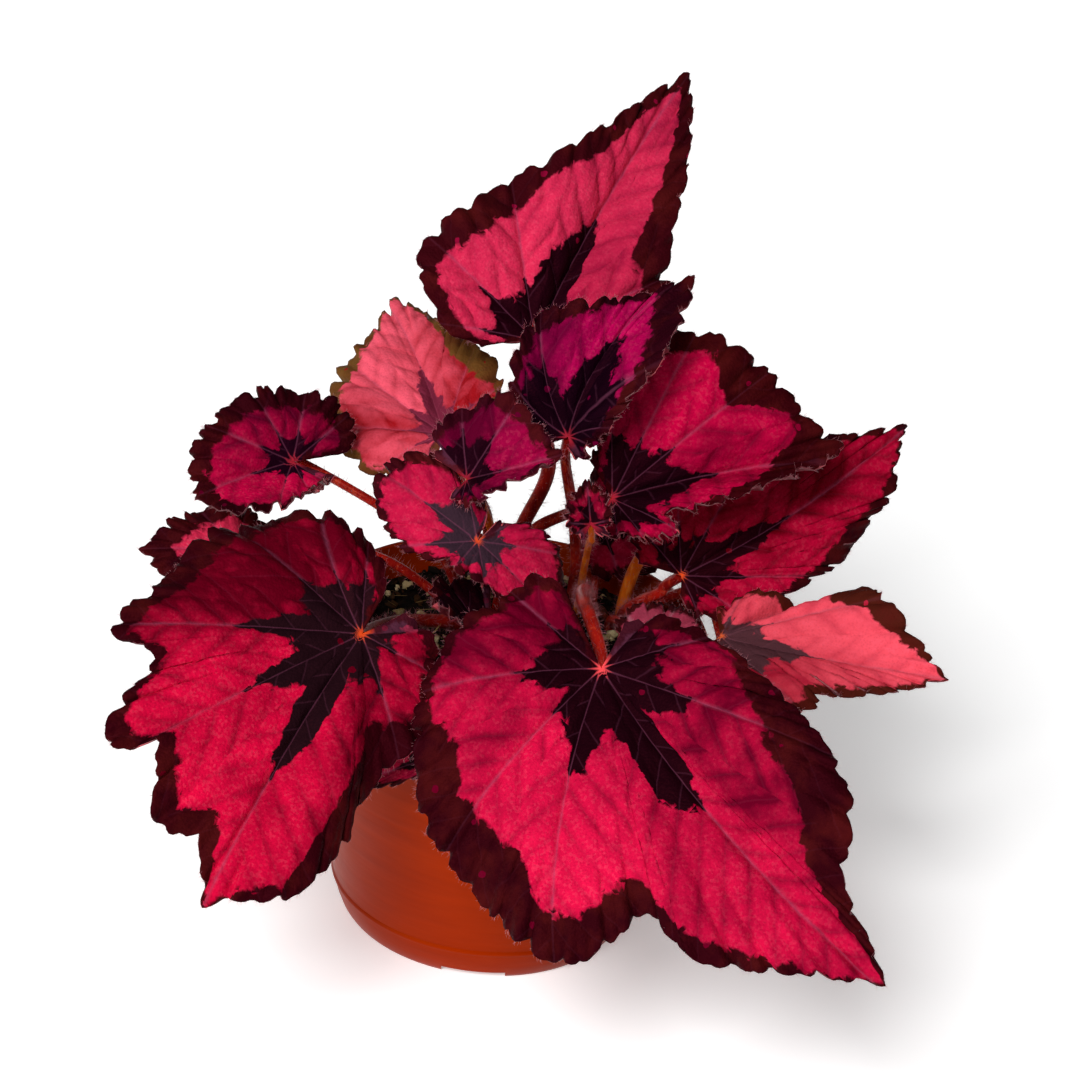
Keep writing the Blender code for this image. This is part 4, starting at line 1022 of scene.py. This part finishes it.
# Leaf 4: far left, its lower half folded up and over.
skin = leaf_skin("begonia leaf 4", "C40640", "50001C", "180210", "240208", "A02030")
blade = grow_blade("leaf_04", (-60, 4, 124), -148, -12, -57, [ (-190, 14, 8, -5),
    (-163, 19, 12, -15), (-140, 19, 14, -20), (-121, 18, 12, -25), (-102, 19, 10, -30),
    (-78, 21, 8, -35), (-50, 23, 6, -35), (-30, 26, 6, -30), (-9, 27, 6, -20), (5, 28, 10, -5),
    (25, 25, 25, 30), (50, 21, 32, 60), (80, 18, 35, 75), (110, 16, 35, 70), (135, 12, 25, 40)],
    [(-160, -160), (-120, -120), (-80, -80), (-42, -42), (-5, 0), (40, 40), (85, 85)], skin,
    steps=37, wave=1.0, waves=7,
    core=((-190, 0.4), (-120, 0.3), (-60, 0.25), (0, 0.3), (40, 0.2), (135, 0.3)),
    rim=((-190, 0.75), (-80, 0.75), (-30, 0.8), (5, 0.85), (50, 0.9), (135, 0.8)),
    deep_red_and_shade=((-190, 0.7), (-130, 0.7), (-35, 0.6), (-20, 0.45), (10, 0.0), (60, 0.3), (135, 0.5)))
stalk = grow_stalk(blade, (-13.2, 17.6), [(-22, 13, 100), (-38, 7, 113)], 2.8)
grow_hairs(blade, stalk, on_margin=1.8)

# Leaf 5: a small cupped leaf near the middle, dark plum with a pink lip.
skin = leaf_skin("begonia leaf 5", "A80642", "4C001E", "16020C", "28030E", "8A1828")
blade = grow_blade("leaf_05", (-14, -14, 133), -19, 29, 75, [ (-150, 5, 30, 0), (-110, 7, 45, -10),
    (-57, 10, 50, -20), (-30, 14, 50, -25), (-12, 19, 30, -15), (0, 24, 5, -10), (20, 25, 5, -15),
    (44, 25, 5, -20), (73, 18, 5, -20), (97, 16, 10, -10), (130, 9, 15, 0)], [(-100, -100),
    (-50, -50), (0, 0), (38, 38), (78, 78)], skin, steps=25, point=4, tooth=1.1, slot="dusky_leaf",
    core=((-150, 0.7), (-30, 0.6), (-10, 0.5), (0, 0.3), (30, 0.35), (45, 0.5), (130, 0.7)),
    rim=((-150, 0.8), (-60, 0.85), (-10, 0.95), (0, 0.9), (45, 0.85), (130, 0.8)),
    deep_red_and_shade=((-150, 0.9), (-30, 0.8), (0, 0.35), (30, 0.6), (60, 0.9), (130, 0.9)))
stalk = grow_stalk(blade, (-0.2, 16.5), [(-6, 7, 106)], 2.8, slot="orange_stalk")
grow_hairs(blade, stalk, on_margin=2.4)

# Leaf 6: saddle shaped, a large lobe to the upper left and one to the lower right.
skin = leaf_skin("begonia leaf 6", "C21640", "700426", "30202A", "2A040C", "D04824", star=2.6)
blade = grow_blade("leaf_06", (-10, -18, 118), 172, 25, -46, [ (-80, 6, 20, 0), (-60, 10, 18, -5),
    (-43, 16, 15, -10), (-32, 24, 10, -15), (-15, 29, 5, -20), (0, 30, 2, -20), (9, 27, 0, -25),
    (23, 23, 0, -35), (36, 19, 0, -35), (52, 13, 5, -20), (75, 9, 8, -10), (120, 10, 5, -10),
    (150, 17, 0, -20), (172, 20, -2, -25), (189, 25, -2, -30), (204, 23, 0, -30), (220, 17, 5, -20),
    (240, 10, 10, -5), (255, 6, 12, 0)], [(-45, -45), (-5, -5), (35, 35), (80, 80), (130, 130),
    (170, 170), (205, 205)], skin, steps=41, waves=7,
    core=((-80, 0.7), (-40, 0.5), (5, 0.4), (10, 0.3), (20, 0.4), (40, 0.6), (75, 0.7), (120, 0.6),
    (150, 0.5), (170, 0.35), (200, 0.3), (225, 0.4), (255, 0.6)),
    rim=((-80, 0.85), (-30, 0.85), (-20, 0.9), (0, 0.95), (50, 0.9), (170, 0.95), (205, 0.95),
    (255, 0.9)),
    deep_red_and_shade=((-80, 0.7), (-35, 0.6), (-10, 0.3), (0, 0.15), (60, 0.2), (170, 0.2), (255, 0.4)))
stalk = grow_stalk(blade, (0.0, 12.1), [(5, 4, 96), (2, -8, 110)], 2.8)
grow_hairs(blade, stalk)

# Leaf 7: the large leaf hanging over the pot's left front.
skin = leaf_skin("begonia leaf 7", "CE0838", "540012", "1C0A10", "280208", "D8481C", star=3.6)
blade = grow_blade("leaf_07", (-36, -42, 101), -114, -31, -27, [ (-178, 12, 10, 0),
    (-160, 23, 12, -25), (-144, 31, 14, -45), (-127, 38, 12, -60), (-111, 43, 8, -65),
    (-95, 47, 10, -50), (-75, 51, 8, -35), (-58, 62, 6, -25), (-52, 52, 6, -20), (-34, 70, 4, -20),
    (-29, 60, 4, -15), (-16, 70, 2, -18), (-8, 63, 2, -15), (0, 67, 0, -12), (11, 70, 4, -20),
    (22, 56, 6, -25), (28, 43, 4, -25), (45, 33, 6, -20), (60, 31, 9, -20), (81, 24, 12, -20),
    (117, 17, 12, -10), (146, 12, 10, 0)], [(-152, -156), (-121, -134), (-98, -104), (-60, -60),
    (-31, -31), (-5, 0), (47, 44), (88, 88)], skin, steps=57, pleat=0.08, quilt=0.7, point=13,
    wave=1.2, waves=9,
    core=((-178, 0.75), (-155, 0.5), (-130, 0.35), (-95, 0.4), (-75, 0.3), (-60, 0.5), (-50, 0.35),
    (-40, 0.3), (-30, 0.5), (-20, 0.35), (-15, 0.3), (-5, 0.6), (5, 0.45), (12, 0.2), (30, 0.3),
    (45, 0.45), (55, 0.3), (85, 0.3), (110, 0.45), (130, 0.5), (135, 0.8), (146, 0.85)),
    rim=((-178, 0.6), (-160, 0.75), (-135, 0.9), (-80, 0.85), (-65, 0.9), (-55, 0.95), (-20, 0.9),
    (-5, 0.9), (0, 1.0), (12, 0.95), (16, 0.8), (25, 0.65), (30, 0.6), (50, 0.8), (95, 0.8),
    (120, 0.9), (146, 0.9)),
    deep_red_and_shade=((-178, 0.6), (-130, 0.95), (-85, 0.9), (-65, 0.85), (-55, 0.4), (-40, 0.15), (-15, 0.0),
    (0, 0.25), (10, 0.3), (25, 0.65), (60, 0.6), (110, 0.45), (146, 0.6)))
stalk = grow_stalk(blade, (-11.6, 8.5), [(-27, -9, 88)], 4.0)
grow_hairs(blade, stalk, on_margin=1.2)

# Leaf 8: the largest leaf, hanging over the pot's right front.
skin = leaf_skin("begonia leaf 8", "CE0E3E", "58001A", "160208", "260208", "E8484C", star=4.4)
blade = grow_blade("leaf_08", (24, -52, 104), -44, -20, 42, [ (-196, 23, 14, 0),
    (-181, 29, 18, -10), (-163, 30, 22, -20), (-145, 37, 24, -24), (-128, 42, 22, -24),
    (-108, 49, 18, -26), (-87, 58, 12, -30), (-73, 62, 10, -30), (-60, 68, 8, -28),
    (-47, 74, 6, -25), (-36, 66, 6, -22), (-29, 62, 5, -20), (-22, 77, 4, -20), (-15, 82, 2, -18),
    (-9, 86, 2, -15), (0, 90, 0, -12), (6, 76, 4, -15), (15, 74, 8, -20), (24, 65, 12, -22),
    (32, 52, 14, -25), (43, 40, 15, -25), (57, 30, 13, -22), (78, 22, 9, -15), (110, 12, 6, 0)],
    [(-169, -172), (-126, -121), (-84, -80), (-58, -49), (-9, -1), (25, 25), (60, 62)], skin,
    steps=65, pleat=0.08, quilt=0.8, point=14, wave=1.4, waves=9,
    core=((-196, 0.5), (-145, 0.4), (-120, 0.45), (-110, 0.35), (-95, 0.2), (-80, 0.25), (-65, 0.3),
    (-50, 0.4), (-40, 0.3), (-22, 0.3), (-18, 0.45), (-12, 0.5), (-8, 0.5), (-3, 0.4), (5, 0.2),
    (20, 0.4), (35, 0.35), (50, 0.5), (60, 0.6), (80, 0.75), (110, 0.8)),
    rim=((-196, 0.85), (-140, 0.95), (-115, 0.95), (-100, 0.75), (-85, 0.8), (-60, 0.75),
    (-55, 0.85), (-35, 0.85), (-25, 0.9), (-5, 1.0), (0, 1.0), (3, 0.85), (10, 0.85), (20, 0.7),
    (35, 0.8), (50, 0.95), (65, 0.9), (80, 0.8), (110, 0.8)),
    deep_red_and_shade=((-196, 0.9), (-170, 0.9), (-140, 0.75), (-110, 0.35), (-90, 0.35), (-70, 0.1), (-55, 0.0),
    (-40, 0.1), (-20, 0.3), (0, 0.35), (5, 0.65), (80, 0.8), (110, 0.8)))
stalk = grow_stalk(blade, (21.7, 18.9), [(19.5, 8, 93), (18.2, -14, 103), (20.5, -33, 107)], 4.2,
    approach=(-0.75, 0.35, -0.35))
grow_hairs(blade, stalk, on_margin=1.2)

# Leaf 9: upper right, its front edge curled up in a crimson lip and parted by a notch.
skin = leaf_skin("begonia leaf 9", "C4043E", "6A0020", "18020A", "280206", "A02030")
blade = grow_blade("leaf_09", (23, -2, 126), 2, 20, 64, [ (-150, 8, 25, 0), (-115, 11, 35, 5),
    (-80, 13, 36, 20), (-58, 20, 34, 35), (-42, 27, 30, 42), (-33, 28, 28, 45), (-26, 20, 30, 25),
    (-18, 27, 28, 8), (-9, 38, 18, 5), (0, 53, 0, -10), (14, 52, 4, -18), (28, 51, 6, -22),
    (42, 50, 8, -25), (52, 47, 10, -25), (60, 44, 12, -25), (72, 32, 14, -20), (84, 19, 15, -10),
    (105, 11, 15, 0)], [(-90, -90), (-58, -58), (-35, -35), (4, -3), (27, 26), (50, 50), (76, 76)],
    skin, steps=45, quilt=0.7, point=7, wave=1.2, waves=7,
    core=((-150, 0.6), (-60, 0.6), (-15, 0.65), (-5, 0.45), (10, 0.4), (20, 0.35), (50, 0.3),
    (60, 0.35), (70, 0.5), (105, 0.7)),
    rim=((-150, 0.9), (-90, 0.95), (-20, 0.95), (-10, 0.9), (0, 0.7), (5, 0.85), (10, 0.95),
    (15, 0.9), (25, 0.75), (35, 0.8), (40, 0.9), (50, 0.9), (60, 0.85), (70, 0.75), (105, 0.8)),
    deep_red_and_shade=((-150, 0.5), (0, 0.45), (15, 0.65), (25, 0.45), (35, 0.15), (45, 0.4), (55, 0.5),
    (70, 0.7), (105, 0.8)))
stalk = grow_stalk(blade, (4.2, 22.5), [(3, 20, 102), (13.5, 17.5, 111.5)], 3.4)
grow_hairs(blade, stalk, on_margin=1.8)

# Leaf 10: right, below leaf 9, its pointed tip up and to the right.
skin = leaf_skin("begonia leaf 10", "C60A3A", "5A000E", "1A0208", "200208", "E85020", star=2.6)
blade = grow_blade("leaf_10", (43, -4, 107), 26, 31, 52, [ (-125, 7, 12, 0), (-92, 13, 14, -10),
    (-70, 18, 14, -15), (-56, 21, 14, -20), (-45, 27, 12, -25), (-34, 35, 10, -25),
    (-26, 43, 8, -22), (-17, 50, 6, -20), (-10, 58, 4, -18), (0, 59, 0, -12), (6, 53, 2, -12),
    (16, 46, 4, -12), (32, 38, 6, -12), (52, 32, 8, -10), (76, 26, 8, -10), (104, 18, 8, 0),
    (130, 11, 8, 0)], [(-100, -100), (-66, -66), (-36, -33), (-9, 0), (28, 26), (60, 60), (98, 98)],
    skin, steps=45, pleat=0.09, quilt=0.7, point=13, wave=1.2, waves=7,
    core=((-125, 0.6), (-90, 0.6), (-65, 0.4), (-35, 0.45), (-27, 0.3), (-18, 0.3), (-14, 0.4),
    (-5, 0.45), (5, 0.3), (20, 0.25), (60, 0.3), (130, 0.6)),
    rim=((-125, 0.85), (-95, 0.85), (-65, 0.9), (-50, 0.95), (-30, 0.9), (-20, 0.85), (-10, 0.95),
    (-5, 1.0), (0, 1.0), (5, 0.95), (60, 0.9), (130, 0.85)),
    deep_red_and_shade=((-125, 0.6), (-60, 0.6), (-40, 0.25), (-30, 0.35), (-20, 0.55), (0, 0.6), (40, 0.7),
    (130, 0.8)))
stalk = grow_stalk(blade, (29.8, 23.5), [(34, 8, 92), (39, 2, 99)], 3.6)
grow_hairs(blade, stalk)

# Leaf 11: low on the right, wavy and nearly level, red with an olive brown rim.
skin = leaf_skin("begonia leaf 11", "E24C5C", "A01A30", "4A2A30", "42160E", "E06030",
    mauve="8A5060", star=2.6)
blade = grow_blade("leaf_11", (54, -22, 100), -20, 8, 20, [ (-120, 7, 8, 0), (-75, 12, 8, -10),
    (-50, 20, 6, -20), (-39, 34, 4, -25), (-31, 34, 4, -25), (-22, 30, 2, -20), (-13, 37, 0, -15),
    (0, 50, 0, -10), (8, 47, 4, -8), (17, 43, 12, -8), (25, 39, 13, -10), (34, 31, -5, -20),
    (44, 24, -6, -18), (57, 19, 10, -15), (85, 13, 8, -10), (115, 9, 8, 0)], [(-80, -80),
    (-38, -36), (-8, 0), (20, 18), (48, 48), (85, 85)], skin, steps=37, pleat=0.12, quilt=0.8,
    point=9, wave=2.0, waves=4,
    core=((-120, 0.4), (-60, 0.45), (-35, 0.5), (-20, 0.6), (-10, 0.55), (5, 0.25), (15, 0.2),
    (60, 0.25), (115, 0.4)),
    rim=((-120, 0.9), (-15, 0.9), (0, 1.0), (5, 0.95), (15, 0.85), (22, 0.75), (30, 0.85),
    (45, 0.9), (115, 0.9)),
    deep_red_and_shade=((-120, 0.8), (-40, 0.75), (-20, 0.55), (0, 0.1), (5, 0.0), (40, 0.1), (115, 0.4)))
stalk = grow_stalk(blade, (35.5, 27.0), [(50, 9, 96)], 3.2, approach=(-0.2, 0.5, -0.8))
grow_hairs(blade, stalk)

# Leaf 12: far left, mostly behind leaf 7.
skin = leaf_skin("begonia leaf 12", "CC2A4C", "600018", "1C0208", "240208", "A02030")
# A darker copy of the leaf skin, its deeper red painted shade, for leaves 13, 14, 16 and 17, which
# lie low or among the others.
shaded_skin = leaf_skin("begonia leaf, shaded", "A00A30", "4A0016", "140208", "1E0208", "8A1828")
blade = grow_blade("leaf_12", (-73, 2, 97), -170, 4, -35, [ (-150, 8, 10, 0), (-110, 12, 10, -10),
    (-70, 14, 8, -15), (-40, 16, 6, -20), (-20, 19, 4, -20), (0, 21, 0, -15), (20, 20, 2, -20),
    (45, 17, 6, -25), (80, 14, 8, -20), (115, 12, 8, -10), (145, 8, 8, 0)], [(-100, -100),
    (-50, -50), (0, 0), (50, 50), (100, 100)], skin, steps=27, point=4, slot="dusky_leaf",
    core=((0, 0.3), ),
    rim=((0, 0.68), ),
    deep_red_and_shade=((0, 0.15), ))
stalk = grow_stalk(blade, (-14.1, 12.7), [(-34, 12, 94), (-55, 8, 98)], 2.6)
grow_hairs(blade, stalk)

# Leaf 13: a small leaf hanging over the front rim, below leaves 7 and 8.
blade = grow_blade("leaf_13", (-9, -59, 81), 164, -33, -76, [ (-150, 4, 5, 0), (-110, 5, 5, -5),
    (-70, 7, 4, -10), (-45, 10, 4, -12), (-20, 20, 2, -12), (0, 32, 0, -10), (15, 14, 2, -10),
    (40, 6, 5, -5), (70, 4, 6, 0), (110, 3, 8, 0)], [(-90, -90), (-40, -35), (0, 0), (45, 45)],
    shaded_skin, steps=25, waves=4, slot="dusky_leaf",
    core=((0, 0.5), ),
    rim=((0, 0.85), ))
stalk = grow_stalk(blade, (-2.4, 8.5), [(1.5, -14, 84), (1, -46, 89)], 2.6, approach=(-0.61, -0.76,
    -0.23), drop=0.9)
grow_hairs(blade, stalk)

# Leaf 14: a new cupped leaf low at the centre.
blade = grow_blade("leaf_14", (-4, -15, 87), -95, 10, 0, [ (-165, 18, 45, 5), (-130, 20, 40, 5),
    (-90, 21, 36, 5), (-45, 20, 32, 0), (0, 22, 25, 0), (45, 20, 32, 0), (90, 21, 36, 5),
    (130, 20, 40, 5), (165, 18, 45, 5)], [(-120, -120), (-60, -60), (0, 0), (60, 60), (120, 120)],
    shaded_skin, steps=27, tooth=1.0, wave=1.0, waves=6, slot="dusky_leaf",
    core=((0, 1.2), ),
    rim=((0, 0.93), ))
stalk = grow_stalk(blade, (-7.0, 6.8), [(-7, -4, 81)], 2.6, approach=(-0.5, 0.0, -0.85))
grow_hairs(blade, stalk, on_margin=2.6)

# Leaf 15: low, between the largest leaf and the stalks, grey pink and dusky rose.
skin = leaf_skin("begonia leaf 15", "A84058", "78182E", "2A1018", "2C0A10", "A84030",
    mauve="A07884")
blade = grow_blade("leaf_15", (38, -17, 91), 14, 8, 8, [ (-120, 8, 8, 0), (-75, 12, 6, -10),
    (-35, 13, 4, -12), (0, 13, 0, -12), (20, 15, 2, -12), (40, 18, 4, -12), (70, 19, 6, -12),
    (100, 17, 6, -10), (135, 11, 8, 0)], [(-80, -80), (-30, -30), (15, 15), (60, 60), (105, 105)],
    skin, steps=25, slot="dusky_leaf",
    core=((0, 0.3), ),
    rim=((0, 0.9), ))
stalk = grow_stalk(blade, (26.6, 19.8), [(31, 4, 85)], 2.6)
grow_hairs(blade, stalk)

# Leaf 16: dark, behind the stalks.
blade = grow_blade("leaf_16", (22, 45, 95), -27, 4, 50, [ (-150, 7, 8, 0), (-110, 11, 8, -8),
    (-75, 15, 6, -10), (-45, 18, 4, -12), (-20, 22, 2, -12), (0, 27, 0, -12), (20, 30, 4, -15),
    (50, 27, 6, -15), (85, 21, 8, -12), (120, 14, 8, -8), (150, 8, 8, 0)], [(-100, -100),
    (-50, -50), (0, 0), (45, 45), (95, 95)], shaded_skin, steps=27, point=3, slot="dusky_leaf",
    core=((0, 0.4), ),
    rim=((0, 0.85), ))
stalk = grow_stalk(blade, (21.7, 33.1), [(22, 38, 83.5)], 2.6, approach=(0.15, -0.95, -0.2),
    drop=0.4)
grow_hairs(blade, stalk)

# Leaf 17: the youngest leaf, in front of the stalk of leaf 2.
blade = grow_blade("leaf_17", (18, -18, 126), 114, 63, -22, [ (-150, 4, 30, 0), (-90, 5, 30, -5),
    (-45, 8, 20, -5), (-15, 9, 5, -5), (0, 10, 0, -5), (20, 9, 5, -5), (45, 8, 20, -5),
    (90, 6, 30, -5), (150, 4, 30, 0)], [(-80, -80), (0, 0), (80, 80)], shaded_skin, steps=21,
    point=1, tooth=0.8, wave=0.4, waves=4, slot="dusky_leaf",
    core=((0, 0.5), ),
    rim=((0, 0.8), ))
stalk = grow_stalk(blade, (17.5, 21.4), [(18.5, 0, 112)], 2.0, slot="orange_stalk")
grow_hairs(blade, stalk, on_margin=3.0, long=1.2)

# Leaf 18: behind leaves 9 and 10, on the wide orange stalk.
skin = leaf_skin("begonia leaf 18", "B00632", "5A001A", "18020A", "220208", "D04020")
blade = grow_blade("leaf_18", (50, 34, 113), 50, 5, 15, [ (-150, 9, 10, 0), (-115, 17, 10, -10),
    (-80, 22, 8, -20), (-50, 27, 6, -20), (-25, 34, 2, -20), (0, 38, 0, -18), (25, 32, 2, -20),
    (55, 26, 6, -22), (85, 22, 8, -20), (120, 16, 10, -10), (150, 9, 10, 0)], [(-110, -110),
    (-66, -66), (-28, -28), (0, 0), (35, 35), (78, 78)], skin, steps=31, point=8, wave=1.2, waves=6,
    core=((-150, 0.4), (-60, 0.3), (-20, 0.35), (0, 0.5), (20, 0.35), (150, 0.4)),
    rim=((-150, 0.85), (-10, 0.86), (0, 0.95), (10, 0.86), (150, 0.85)))
stalk = grow_stalk(blade, (29.8, 28.5), [(34, 25, 98)], 3.6, slot="orange_stalk")
grow_hairs(blade, stalk)
